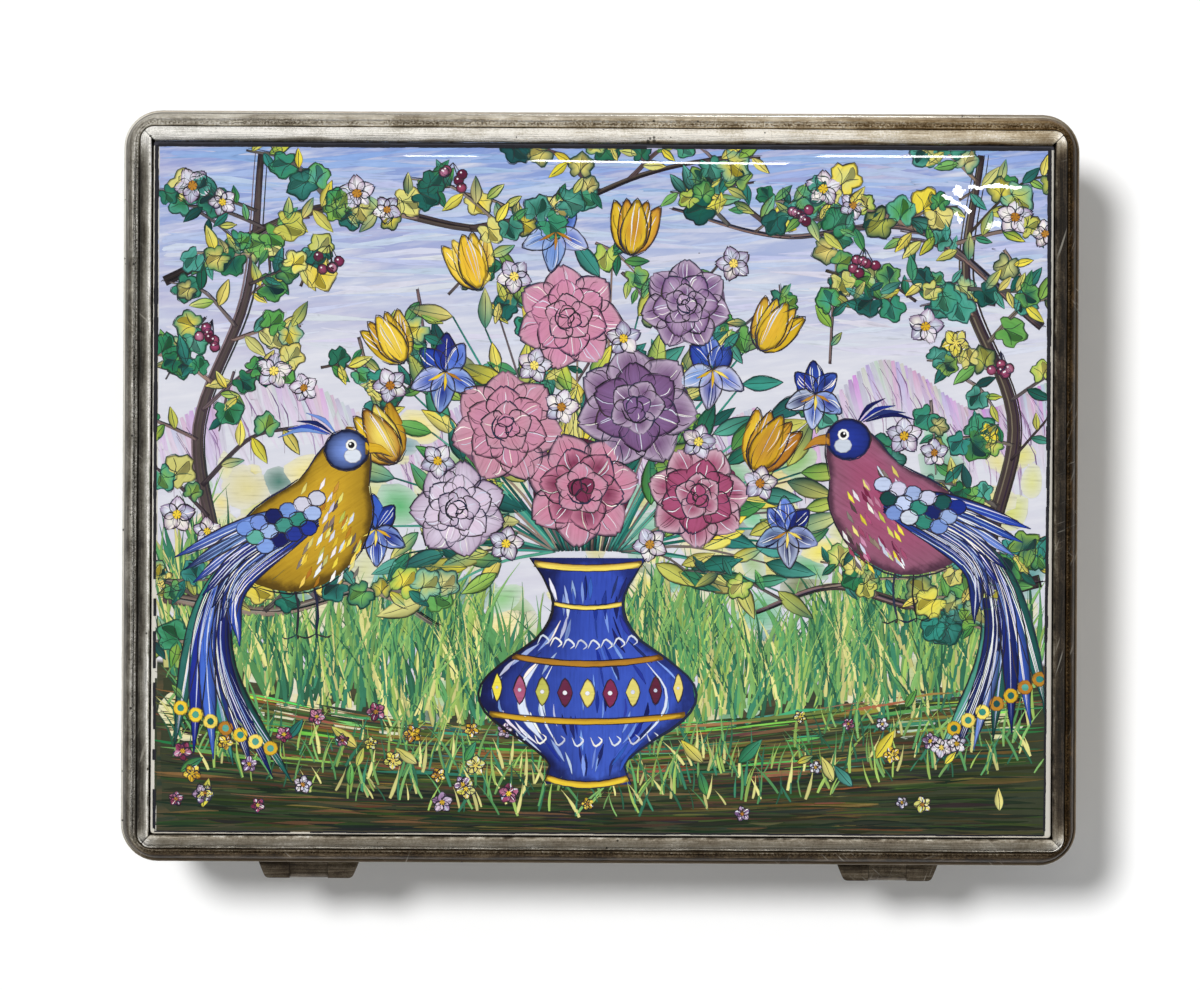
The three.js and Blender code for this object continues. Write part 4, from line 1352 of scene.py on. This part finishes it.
def paintIris(marks, x, y, size, level):
    for a, long in ((-0.5, 1.0), (-1.6, 1.1), (-2.65, 1.0), (0.9, 0.9), (1.6, 1.05), (2.3, 0.9)):
        paintPetal(marks, x, y, size * long, size * 0.62, a + marks.some(-0.12, 0.12),
                   marks.pick("cobalt", 12), level + (0 if a > 0 else 2),
                   edge=marks.pick("sky" if a < 0 else "cobalt", 12), hairs=4)
    for a in (-0.5, -1.6, -2.65):
        marks.stroke(through(turnedBy([(0.1, 0), (size * 0.25, 0.1), (size * 0.5, 0)], a, x, y), 5),
                     [0.1, 0.5, 0.1], marks.pick("ochre", 8), level + 6)


def paintBlossom(marks, x, y, size, level, kind="white"):
    start = marks.some(0, 6)
    for k in range(5):
        a = start + 2 * math.pi * k / 5
        paintPetal(marks, x, y, size, size * 0.86, a, marks.pick(kind, 6), level + k % 2,
                   edge=marks.pick("mauve" if kind == "white" else kind, 8), notch=0.12, hairs=2)
    marks.blob(ragged(marks, x, y, size * 0.26, 8, 0.1), marks.pick("ochre", 8), level + 5)
    for k in range(6):
        a = start + k * 1.05
        marks.ink([(x, y), (x + math.cos(a) * size * 0.42, y + math.sin(a) * size * 0.42)],
                  level + 6, 0.14, 4)


def paintBerries(marks, x, y, count, level):
    for k in range(count):
        a, r = marks.some(0, 6.28), marks.some(0.4, 2.0)
        bx, by = x + r * math.cos(a), y + r * math.sin(a) * 0.8
        marks.ink([(x, y + 2.5), ((x + bx) / 2, (y + 2.5 + by) / 2), (bx, by)], level, 0.16, 5)
        outline = ragged(marks, bx, by, 0.75, 10, 0.05)
        marks.blob(outline, marks.pick("maroon", 10), level + 1 + k % 3, edge=(84, 26, 50))
        marks.inkAround(outline, level + 4, 0.16, 2, 0.1)
        marks.blob(ragged(marks, bx - 0.2, by + 0.25, 0.16, 6, 0.05), (236, 226, 232), level + 5)


vase = {"x": -2.0, "foot": -43.0, "top": -10.0,
        "widths": (13, 11, 18, 27, 31.5, 30.5, 24, 15.5, 11, 10.4, 13, 17)}


def paintVase(marks, level):
    d = vase
    tall = d["top"] - d["foot"]
    spine = [(d["x"], d["foot"] + tall * t) for t in np.linspace(0, 1, 34)]
    marks.stroke(spine, d["widths"], (58, 86, 184), level, tip=(46, 70, 170), across=10, sides=(22, 34, 104))

    def half(t):
        return float(np.interp(t, np.linspace(0, 1, len(d["widths"])), d["widths"])) / 2

    def across(t, share):
        sag = 1.1 * (1 - share ** 2) * (0.6 if t > 0.7 else 1)
        return d["x"] + half(t) * share, d["foot"] + tall * t - sag

    for k in range(90):
        share, t = marks.some(-0.9, 0.9), marks.some(0.06, 0.86)
        line = through([across(t, share), across(t + 0.05, share * 1.01), across(t + 0.1, share * 0.99)], 6)
        shade = marks.pick("cobalt" if share > -0.3 else marks.oneOf(("sky", "cobalt", "white")), 14)
        marks.stroke(line, [0.1, marks.some(0.3, 0.9), 0.1], shade, level + 1 + k % 3)
    for share, wide in ((-0.62, 1.5), (-0.44, 0.5), (0.74, 0.5)):
        line = through([across(t, share * (0.9 if t > 0.6 else 1)) for t in (0.2, 0.32, 0.44, 0.56)], 10)
        marks.stroke(line, [0.1, wide, wide * 0.7, 0.1], (214, 224, 242), level + 4, across=4)
    for t, wide in ((0.31, 0.9), (0.565, 0.9), (0.80, 0.7), (0.03, 1.0), (0.975, 1.0)):
        band = through([across(t, s) for s in np.linspace(-0.99, 0.99, 9)], 24)
        marks.stroke(band, wide, marks.pick("ochre", 6), level + 5, across=4, sides=(146, 96, 34))
        for up in (-0.5, 0.5):
            marks.ink(band[::3] + np.array([0, up * wide]), level + 6, 0.17, 18)
    for k in range(9):
        share = -0.86 + 1.72 * k / 8
        x, y = across(0.435, share)
        squeeze = math.sqrt(1 - share ** 2 * 0.8)
        diamond = [(x - 1.15 * squeeze, y), (x, y - 2.1), (x + 1.15 * squeeze, y), (x, y + 2.1)]
        rounded = through(diamond + [diamond[0]], 13)[:-1]
        marks.blob(rounded, marks.pick("maroon" if k % 2 else "lemon", 8), level + 6)
        marks.inkAround(rounded, level + 8, 0.18, 2, 0.0)
        marks.blob(ragged(marks, x, y, 0.36 * squeeze, 8, 0.05), marks.pick("white", 4), level + 8)
    for k in range(8):
        share = -0.8 + 1.6 * k / 7
        for t, up in ((0.63, 1), (0.24, -1)):
            x, y = across(t, share)
            marks.stroke(through([(x - 0.9, y), (x - 0.2, y + 1.3 * up), (x + 0.8, y + 0.5 * up),
                                  (x + 0.2, y - 0.1 * up)], 9),
                         [0.1, 0.34, 0.3, 0.1], marks.pick("white", 6), level + 6)
    for side, wide in ((-1.0, 0.34), (1.0, 0.42)):
        marks.ink([across(t, side) for t in np.linspace(0.0, 1.0, 12)], level + 9, wide, 26)


def paintBird(marks, x, y, size, facing, level, breast, wing, lean):
    def put(points):
        return turnedBy([(px * facing, py) for px, py in points], lean * facing, x, y, size)

    def feather(root, bend, tip, wide, kind, step, spots=False):
        line = through(put([root, bend, tip]), 14)
        w = wide * size
        widths = [0.3, w * 0.8, w, w * 0.85, 0.15]
        shade = marks.pick(kind, 12)
        marks.stroke(line, widths, shade, level + step, across=4, tip=marks.pick(kind, 16),
                     sides=darker(shade, 0.6))
        for shift in (-0.28, 0.0, 0.25):
            marks.stroke(line[2:-1] + np.array([0, shift * w]), [0.05, 0.2, 0.24, 0.06],
                         marks.pick("white" if marks.chance() < 0.55 else "sky", 14), level + step + 1)
        out = normalsTo(line) * halfWidths(widths, 14)[:, None]
        for side in (-1, 1):
            marks.ink((line + out * side)[::2], level + step + 2, 0.2, 12)
        if spots:
            ex, ey = line[-3]
            marks.blob(ragged(marks, ex, ey, w * 0.42, 10, 0.05), marks.pick("ochre", 6), level + step + 2)
            marks.blob(ragged(marks, ex, ey, w * 0.24, 8, 0.05), marks.pick("teal", 6), level + step + 3)

    # Tail, back to front
    for k in range(7):
        feather((-6, -1), (-9.6 + 0.5 * k, -8 - 0.8 * k), (-12.5 + 2.0 * k, -20.5 - 0.7 * k), 1.9,
                wing if k % 3 else "teal", k % 3, spots=True)
    # Legs
    for shift in (0.0, 2.0):
        marks.ink(put([(0.5 + shift, -4), (0.9 + shift, -7), (0.6 + shift, -9.6)]), level + 3, 0.42, 7)
        for toe in (-1.5, 0.2, 1.6):
            marks.ink(put([(0.6 + shift, -9.5), (0.6 + shift + toe * 0.6, -9.9),
                           (0.6 + shift + toe, -9.7)]), level + 3, 0.26, 5)
    # Body and head
    shape = put(through([(-7, -0.8), (-3, 3.6), (1.6, 6.4), (4.2, 9.6), (7.0, 10.4), (8.9, 8.6), (8.7, 5.4),
                         (8.9, 2.0), (6.6, -2.4), (2.0, -5.0), (-3.2, -4.2), (-7, -0.8)], 34)[:-1].tolist())
    marks.blob(shape, marks.pick(breast, 6), level + 5, edge=darker(marks.pick(breast, 6), 0.7),
               turn=0.6 * facing)
    marks.inkAround(shape, level + 7, 0.28, 5, 0.0)
    for k in range(70):
        px, py = marks.some(1.5, 7.8), marks.some(-3.6, 6.5)
        if (px - 3.6) ** 2 / 24 + (py - 1) ** 2 / 34 > 1:
            continue
        name = marks.oneOf((breast, breast, "bark", "white", "lemon"))
        line = put([(px, py), (px - 0.3, py - 0.7), (px - 0.7, py - 1.3)])
        marks.stroke(through(line, 5), [0.08, 0.42 * size, 0.08], marks.pick(name, 14), level + 7 + k % 2)
    head = put(oval(6.6, 9.2, 2.3, 2.1, 14))
    marks.blob(head, marks.pick(wing, 8), level + 8, edge=darker(marks.pick(wing, 6), 0.7))
    marks.inkAround(head, level + 10, 0.22, 3, 0.0)
    marks.blob(put(oval(7.2, 8.6, 0.95, 0.8, 10)), marks.pick("white", 5), level + 10)
    marks.stroke(through(put([(8.5, 9.3), (10.0, 9.2), (11.3, 8.3)]), 7), [1.3 * size, 0.8 * size, 0.08],
                 marks.pick("ochre", 5), level + 10)
    marks.ink(put([(8.6, 8.8), (10.0, 8.7), (11.2, 8.3)]), level + 12, 0.16, 6)
    # Eye: white, pupil and a spark of light
    for step, (ex, ey, radius, shade) in enumerate((
            (7.1, 9.7, 0.62, (238, 238, 232)), (7.1, 9.7, 0.4, (24, 22, 28)),
            (7.0, 9.82, 0.13, (244, 244, 244)))):
        marks.blob(put(oval(ex, ey, radius, radius, 9)), shade, level + 11 + step)
    for k in range(4):
        marks.stroke(through(put([(5.6 - 0.3 * k, 10.9), (4.4 - 0.8 * k, 12.4 - 0.3 * k),
                                  (2.6 - 1.0 * k, 13.2 - 0.8 * k)]), 7),
                     [0.12, 0.5 * size, 0.1], marks.pick(wing, 16), level + 9)
    # Wing, long feathers first
    for k in range(8):
        feather((3.4, 3.4 - 0.25 * k), (-3.5 - 0.2 * k, 2.2 - 0.95 * k), (-11.6 + 0.9 * k, -1.0 - 1.35 * k),
                1.55, wing, 9 + k % 2)
    for row in range(3):
        for k in range(6 - row):
            px, py = 3.6 - 1.5 * k - 0.5 * row, 4.4 - 0.55 * k - 1.5 * row
            scale = put(oval(px - 0.3, py, 0.95, 0.8, 10))
            marks.blob(scale, marks.pick(marks.oneOf(("sky", wing, "teal")), 10), level + 12 + (k + row) % 2)
            marks.inkAround(scale, level + 14, 0.17, 2, 0.1)


# A vase of flowers on a bank between two long-tailed birds, with trees at both ends. Places are in mm;
# boughs give width, level and number of twigs, and birds give size, way they face, level, colours and lean
garden = {
    "boughs": (([(-60, -36), (-56, -14), (-59, 8), (-52, 28), (-50, 49)], 2.4, 12, 15),
               ([(61, -34), (56, -12), (60, 10), (53, 30), (55, 49)], 2.6, 12, 15),
               ([(-64, 30), (-40, 41), (-16, 38), (6, 46), (20, 49)], 1.5, 13, 13),
               ([(64, 24), (46, 38), (26, 37), (10, 41)], 1.3, 13, 10),
               ([(-64, -16), (-48, -18), (-34, -15), (-24, -20)], 1.9, 13, 5),
               ([(64, -13), (48, -17), (34, -14), (22, -18)], 1.9, 13, 5)),
    "twigs": 46,
    "boughBlossoms": ((-36, 43), (32, 44), (47, 24), (-48, 17), (-60, 44), (60, 40), (44, 8), (-62, -4)),
    "berries": ((-40, 33), (38, 33), (-57, 22), (58, 18), (29, 40), (-22, 45)),
    "stalks": 60,
    "tulips": ((-30, 8, 8.4), (22, 7, 8.4), (-18, 33, 7.6), (4, 38, 7.6), (23, 24, 7.4), (-29, 22, 7.2)),
    "irises": ((-23, 17, 5.6), (16, 17.5, 5.4), (-7, 37.5, 5.4), (-33, -6, 5.0), (27, -6, 5.0),
               (31, 14, 4.8)),
    "roses": ((-14, 9, 7.0, "maroon"), (5, 12, 7.6, "mauve"), (-5, 25, 6.6, "maroon"),
              (-21, -3, 6.0, "mauve"), (14, -1, 6.4, "maroon"), (-3, 0, 7.2, "maroon"),
              (12, 27, 5.6, "mauve")),
    "blossoms": ((-24, 4), (14, 7), (-6, 12), (3, 22), (-14, -8), (7, -8), (-13, 31), (19, 33), (-31, 15),
                 (-10, 18), (23, 1)),
    "birds": ((-46, -8, 1.42, 1, 20, "ochre", "cobalt", 0.05),
              (46, -5, 1.42, -1, 20, "maroon", "cobalt", -0.06)),
    "bankFlowers": 64,
}


def paintTrees(marks):
    for path, width, level, twigs in garden["boughs"]:
        paintTree(marks, path, width, level, twigs)
    marks.finish("painted_boughs")
    for k in range(garden["twigs"]):
        x, y = marks.some(-60, 60), marks.some(6, 47)
        a = marks.some(0, 6.28)
        long = marks.some(6, 12)
        dx, dy = math.cos(a) * long, math.sin(a) * long
        paintTwig(marks, [(x, y), (x + dx * 0.5, y + dy * 0.5 + 0.8), (x + dx, y + dy)], 0.45,
                  11 + k % 3, 5, 3.1)
    for x, y in garden["boughBlossoms"]:
        paintBlossom(marks, x, y, 2.8, 20)
        paintBlossom(marks, x + 4.4, y - 2.4, 2.2, 20, marks.oneOf(("white", "maroon", "lemon")))
    for x, y in garden["berries"]:
        paintBerries(marks, x, y, 6, 20)
    marks.finish("painted_twigs")


def paintPosy(marks):
    d = garden
    x0, y0 = vase["x"], vase["top"]
    for k in range(d["stalks"]):
        a = math.pi * (-0.1 + 1.2 * k / (d["stalks"] - 1)) + marks.some(-0.06, 0.06)
        far = marks.some(15, 33)
        foot = x0 + math.cos(a) * 5, y0 + 1
        top = x0 + math.cos(a) * far, y0 + 3 + math.sin(a) * far * 1.25
        middle = (foot[0] + top[0]) / 2 + marks.some(-1, 1), (foot[1] + top[1]) / 2 + 1.5
        marks.stroke(through([foot, middle, top], 9), [0.5, 0.4, 0.25],
                     marks.pick("teal" if k % 3 else "bark", 10), 14)
        for share in (0.45, 0.75, 1.0):
            x, y = foot[0] + (top[0] - foot[0]) * share, foot[1] + (top[1] - foot[1]) * share
            paintLeaf(marks, x, y, marks.some(4.5, 8), a + marks.some(-0.9, 0.9),
                      marks.oneOf(("teal", "leaf", "leaf", "lemon")), 15 + k % 3, 0.38)
    for x, y, size in d["tulips"]:
        paintTulip(marks, x, y - size / 2, size * 1.1, math.pi / 2 + (x - vase["x"]) * -0.02, "ochre", 18)
    for x, y, size in d["irises"]:
        paintIris(marks, x, y, size, 18)
    for x, y, size, kind in d["roses"]:
        paintRose(marks, x, y, size, kind, 19)
    for x, y in d["blossoms"]:
        paintBlossom(marks, x, y, 2.7, 26)
    paintVase(marks, 20)
    marks.finish("painted_vase")


def paintBank(marks, groundTop):
    # The birds, and small flowers and leaves on the bank, but none before the vase
    for bird in garden["birds"]:
        paintBird(marks, *bird)
    for k in range(garden["bankFlowers"]):
        x = marks.some(-62, 62)
        y = marks.some(-48, groundTop(x) + 0.5)
        if abs(x - vase["x"]) < 11 and y > -45:
            continue
        kind = marks.oneOf(("lemon", "ochre", "mauve", "white", "maroon"))
        if k % 3:
            paintBlossom(marks, x, y, marks.some(0.9, 1.7), 21, kind)
        else:
            paintLeaf(marks, x, y, marks.some(2.5, 5), marks.some(0.4, 2.7),
                      marks.oneOf(("leaf", "teal", "lemon")), 21)
    paintBorder(marks, 24)
    marks.finish("painted_birds")


def paintPicture():
    under = Marks(11)
    paintSky(under)
    paintHills(under)
    paintWashes(under)
    groundTop = paintGround(under)
    under.finish("painted_washes")
    paintTrees(Marks(23))
    paintPosy(Marks(37))
    paintBank(Marks(53), groundTop)
    return groundTop


groundTop = paintPicture()
print("picture painted")


grass = {"back": {"perSquareMm": 1.15, "seed": 4, "shortest": 0.7, "tallest": 1.5, "lean": 0.42,
                  "depth": (-1.2, 17.0), "levels": (9, 6)},
         "front": {"perSquareMm": 0.42, "seed": 9, "shortest": 0.35, "tallest": 0.8, "lean": 0.6,
                   "depth": (-13.0, 1.5), "levels": (16, 4)}}
# Height, width and bend in mm, and colour, of each kind of blade
bladeKinds = ((8.0, 0.66, 1.6, (152, 184, 92)), (9.5, 0.6, -2.0, (88, 150, 90)),
              (7.0, 0.7, 0.6, (54, 122, 92)), (10.0, 0.6, 2.8, (122, 170, 96)),
              (6.5, 0.8, -1.0, (212, 208, 132)), (8.5, 0.5, -2.6, (44, 96, 70)))


def makeBlades():
    # One blade of each kind, foot at the origin, lying flat
    kinds = bpy.data.collections.new("blades")
    for k, (tall, wide, bend, shade) in enumerate(bladeKinds):
        steps = 6
        points, rims, uvs = [], [], []
        for i in range(steps + 1):
            t = i / steps
            half = wide / 2 * (0.35 + 0.65 * math.sin(math.pi * min(t * 1.1 + 0.15, 1))) * (1 - t ** 3) + 0.02
            x, y = bend * t ** 2, tall * t
            points += [(x - half, y, 0.0), (x, y, markHeight * (1 - 0.6 * t)), (x + half, y, 0.0)]
            rims += [0.0, 1.0, 0.0]
            uvs += [(y + k * 31, -half), (y + k * 31, 0), (y + k * 31, half)]
        faces = []
        for i in range(steps):
            a, b = i * 3, i * 3 + 3
            faces += [(a, a + 1, b + 1, b), (a + 1, a + 2, b + 2, b + 1), (a, b, b + 2, a + 2)]
        faces += [(0, 2, 1), (steps * 3, steps * 3 + 1, steps * 3 + 2)]
        piece = meshPiece("blade%d" % k, [(x * mm, y * mm, z * mm) for x, y, z in points], faces,
                          [uvs[v] for face in faces for v in face], paintedEnamel, {"rim": rims},
                          colours={"tint": [tone(*shade)] * len(points)})
        bpy.context.scene.collection.objects.unlink(piece)
        kinds.objects.link(piece)
    return kinds


def growTree():
    tree = bpy.data.node_groups.new("grow blades", "GeometryNodeTree")
    tree.interface.new_socket("Geometry", in_out="INPUT", socket_type="NodeSocketGeometry")
    for label, kind in (("Blades", "Collection"), ("Per square metre", "Float"), ("Seed", "Int"),
                        ("Shortest", "Float"), ("Tallest", "Float"), ("Lean", "Float"),
                        ("Paint", "Material")):
        tree.interface.new_socket(label, in_out="INPUT", socket_type="NodeSocket" + kind)
    tree.interface.new_socket("Geometry", in_out="OUTPUT", socket_type="NodeSocketGeometry")
    given = tree.nodes.new("NodeGroupInput").outputs
    result = tree.nodes.new("NodeGroupOutput").inputs
    places = addNode(tree, "GeometryNodeDistributePointsOnFaces",
                     {"Mesh": given["Geometry"], "Density": given["Per square metre"],
                      "Seed": given["Seed"]})
    kinds = addNode(tree, "GeometryNodeCollectionInfo",
                    {"Collection": given["Blades"], "Separate Children": True,
                     "Reset Children": True})
    chosen = "FunctionNodeRandomValue"
    seeds = [plus(given["Seed"], step) for step in (1.0, 2.0, 3.0)]
    lean = addNode(tree, chosen, {2: times(given["Lean"], -1.0), 3: given["Lean"], "Seed": seeds[0]})
    size = addNode(tree, chosen, {2: given["Shortest"], 3: given["Tallest"], "Seed": seeds[1]})
    which = addNode(tree, chosen, {4: 0, 5: len(bladeKinds) - 1, "Seed": seeds[2]}, data_type="INT")
    turn = addNode(tree, "ShaderNodeCombineXYZ", {2: lean.outputs[1]})
    planted = addNode(tree, "GeometryNodeInstanceOnPoints", {
        "Points": places.outputs["Points"], "Instance": kinds.outputs[0], "Pick Instance": True,
        "Instance Index": which.outputs[2], "Scale": size.outputs[1], "Rotation": turn.outputs[0]})
    shade = addNode(tree, chosen, {2: -0.45, 3: 0.3})
    place = tree.nodes.new("GeometryNodeInputPosition").outputs[0]
    height = addNode(tree, "ShaderNodeSeparateXYZ", {0: place}).outputs[1]
    kept = planted.outputs[0]
    for label, value in (("shade", shade.outputs[1]), ("root", height)):
        kept = addNode(tree, "GeometryNodeStoreNamedAttribute",
                       {"Geometry": kept, "Name": label, "Value": value},
                       data_type="FLOAT", domain="INSTANCE").outputs[0]
    real = addNode(tree, "GeometryNodeRealizeInstances", {"Geometry": kept})
    painted = addNode(tree, "GeometryNodeSetMaterial",
                      {"Geometry": real.outputs[0], "Material": given["Paint"]})
    link(painted.outputs[0], result[0])
    return tree


def growGrass(name, d, tree, kinds):
    xs = np.linspace(-63.5, 63.5, 60)
    low, high = d["depth"]
    points = [(x * mm, (groundTop(x) + low) * mm, 0) for x in xs]
    points += [(x * mm, (groundTop(x) + low + (high - low) * (0.75 + 0.25 * math.sin(x * 0.19))) * mm, 0)
               for x in xs]
    n = len(xs)
    field = meshPiece(name, points, [(i, i + 1, n + i + 1, n + i) for i in range(n - 1)], None, paintedEnamel)
    grow = field.modifiers.new("grow", "NODES")
    grow.node_group = tree
    values = {"Blades": kinds, "Per square metre": d["perSquareMm"] * 1e6, "Seed": d["seed"],
              "Shortest": d["shortest"], "Tallest": d["tallest"], "Lean": d["lean"], "Paint": paintedEnamel}
    for item in tree.interface.items_tree:
        if item.in_out == "INPUT" and item.name in values:
            grow[item.identifier] = values[item.name]
    applyModifiers(field)
    made = field.data
    count = len(made.vertices)
    flat = np.zeros(count * 3, np.float32)
    made.vertices.foreach_get("co", flat)
    flat = flat.reshape(-1, 3) / mm
    root = np.zeros(count, np.float32)
    made.attributes["root"].data.foreach_get("value", root)
    root = root / mm
    x, y = withinPicture(flat[:, :2]).T
    first, span = d["levels"]
    rise = (first + span * (root.max() - root) / (root.max() - root.min())) * layerStep
    z = plaqueHeight(x, y) + rise + flat[:, 2]
    x, y = settled(x, y, 1)
    made.vertices.foreach_set("co", (np.stack([x, y, z], 1) * mm).astype(np.float32).ravel())
    made.update()
    shadeByAngle(made, 50)
    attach(field, "lid")
    print(name, len(made.polygons), "faces")


blades, growing = makeBlades(), growTree()
for side, values in grass.items():
    growGrass("painted_grass_" + side, values, growing, blades)


stage = {"sunStrength": 2.6, "sunAngle": 9.2, "fill": 0.33, "floorWhite": 0.9,
         "towardsSun": (-9.5, 7.7, 38), "floorGlow": 0.05, "floorHalf": 3.0, "floorHeight": -0.0002}
# The room that the metal mirrors: a wide window behind the box, a second one on its right, and dim overhead
room = {"window": (-0.12, 0.62, 0.78), "sideWindow": (0.96, 0.1, 0.28)}
# Small lamps that the glaze mirrors: place and size in mm, turn in degrees, and brightness
glints = {"pane": ((120.1, 96.2, 1040), (17, 0.9), -21, 40),
          "blotch": ((110.2, 94.8, 1040), (13.1, 1), -39, 36),
          "drop": ((109.5, 98.7, 1040), (4.4, 1.8), -40, 36),
          "dash": ((111.9, 89.8, 1040), (4.4, 0.7), -52, 34),
          "glow": ((123.6, 84.4, 1040), (5, 2), -4, 16),
          "stripLeft": ((-47.9, 192.3, 1040), (22.4, 9), 9, 18),
          "strip": ((17.2, 162.3, 1040), (79, 11), -12, 28),
          "stripRight": ((87.2, 194.8, 1040), (46, 12), -17, 26)}


def makeStage():
    material, tree, shader = newMaterial("pale floor", Roughness=0.9, Specular_IOR_Level=0.1)
    w = stage["floorWhite"]
    shader["Base Color"].default_value = (w, w, w, 1)
    # A little light of its own, seen by the camera only, takes the lit floor to white
    seen = addNode(tree, "ShaderNodeLightPath").outputs
    shown = maths("MAXIMUM", seen["Is Camera Ray"], seen["Is Glossy Ray"])
    glow = addNode(tree, "ShaderNodeCombineColor", {0: shown, 1: shown, 2: shown})
    link(glow.outputs[0], shader["Emission Color"])
    shader["Emission Strength"].default_value = stage["floorGlow"]
    s, z = stage["floorHalf"], stage["floorHeight"]
    meshPiece("floor", [(-s, -s, z), (s, -s, z), (s, s, z), (-s, s, z)], [(0, 1, 2, 3)],
                       None, material)


def makeLight():
    sun = bpy.data.lights.new("window sun", "SUN")
    sun.energy = stage["sunStrength"]
    sun.angle = math.radians(stage["sunAngle"])
    sunObject = bpy.data.objects.new("window sun", sun)
    sunObject.rotation_euler = Vector(stage["towardsSun"]).to_track_quat("Z", "Y").to_euler()
    # The metal mirrors the room and not the sun, as under a large diffuser
    sunObject.visible_glossy = False
    bpy.context.scene.collection.objects.link(sunObject)
    for name, (place, size, turn, brightness) in glints.items():
        lamp = bpy.data.lights.new("glint " + name, "AREA")
        lamp.shape, lamp.size, lamp.size_y = "RECTANGLE", size[0] * mm, size[1] * mm
        lamp.energy = brightness * math.pi * size[0] * size[1] * mm * mm
        lampObject = bpy.data.objects.new("glint " + name, lamp)
        lampObject.location = Vector(place) * mm
        lampObject.rotation_euler = (0, 0, math.radians(turn))
        lampObject.visible_camera = False
        bpy.context.scene.collection.objects.link(lampObject)
    world = bpy.data.worlds.new("studio")
    bpy.context.scene.world = world
    world.use_nodes = True
    tree = world.node_tree
    tree.nodes.clear()
    path = addNode(tree, "ShaderNodeLightPath").outputs
    direction = addNode(tree, "ShaderNodeTexCoord").outputs["Generated"]
    towards, sideways = (
        addNode(tree, "ShaderNodeVectorMath", {0: direction, 1: Vector(room[side]).normalized()},
                operation="DOT_PRODUCT").outputs["Value"] for side in ("window", "sideWindow"))
    glow = rescale(towards, -0.2, 0.95, 0.05, 1.0, smooth=True)
    glow = plus(glow, rescale(sideways, 0.55, 1.0, 0.0, 0.55, smooth=True))
    up = addNode(tree, "ShaderNodeSeparateXYZ", {0: direction}).outputs[2]
    glow = times(glow, rescale(up, 0.9, 0.985, 1.0, 0.22, smooth=True))
    soft = addNode(tree, "ShaderNodeBackground", {"Color": (0.975, 0.99, 1, 1), "Strength": stage["fill"]})
    shine = addNode(tree, "ShaderNodeBackground", {"Color": (1, 0.985, 0.96, 1), "Strength": glow})
    white = addNode(tree, "ShaderNodeBackground", {"Color": (1, 1, 1, 1), "Strength": 1.0})
    glossy = maths("MAXIMUM", path["Is Glossy Ray"], path["Is Transmission Ray"])
    first = addNode(tree, "ShaderNodeMixShader", {0: glossy, 1: soft.outputs[0], 2: shine.outputs[0]})
    last = addNode(tree, "ShaderNodeMixShader", {0: path["Is Camera Ray"], 1: first.outputs[0],
                                                 2: white.outputs[0]})
    addNode(tree, "ShaderNodeOutputWorld", {0: last.outputs[0]})


# The picture is pictureWidth mm wide at planeHeight mm, distance in metres from the camera
view = {"distance": 1.0, "pictureWidth": 175.6, "planeHeight": 38.0, "aimY": -1.03, "roll": 0.3}


def makeCamera():
    camera = bpy.data.cameras.new("camera")
    camera.sensor_width = 36
    camera.lens = 36 * view["distance"] / (view["pictureWidth"] * mm)
    camera.clip_start = 0.01
    seen = bpy.data.objects.new("camera", camera)
    seen.location = (0, view["aimY"] * mm, view["distance"] + view["planeHeight"] * mm)
    seen.rotation_euler = (0, 0, math.radians(view["roll"]))
    bpy.context.scene.collection.objects.link(seen)
    bpy.context.scene.camera = seen


makeStage()
makeLight()
makeCamera()
bpy.context.scene.view_settings.view_transform = "Standard"
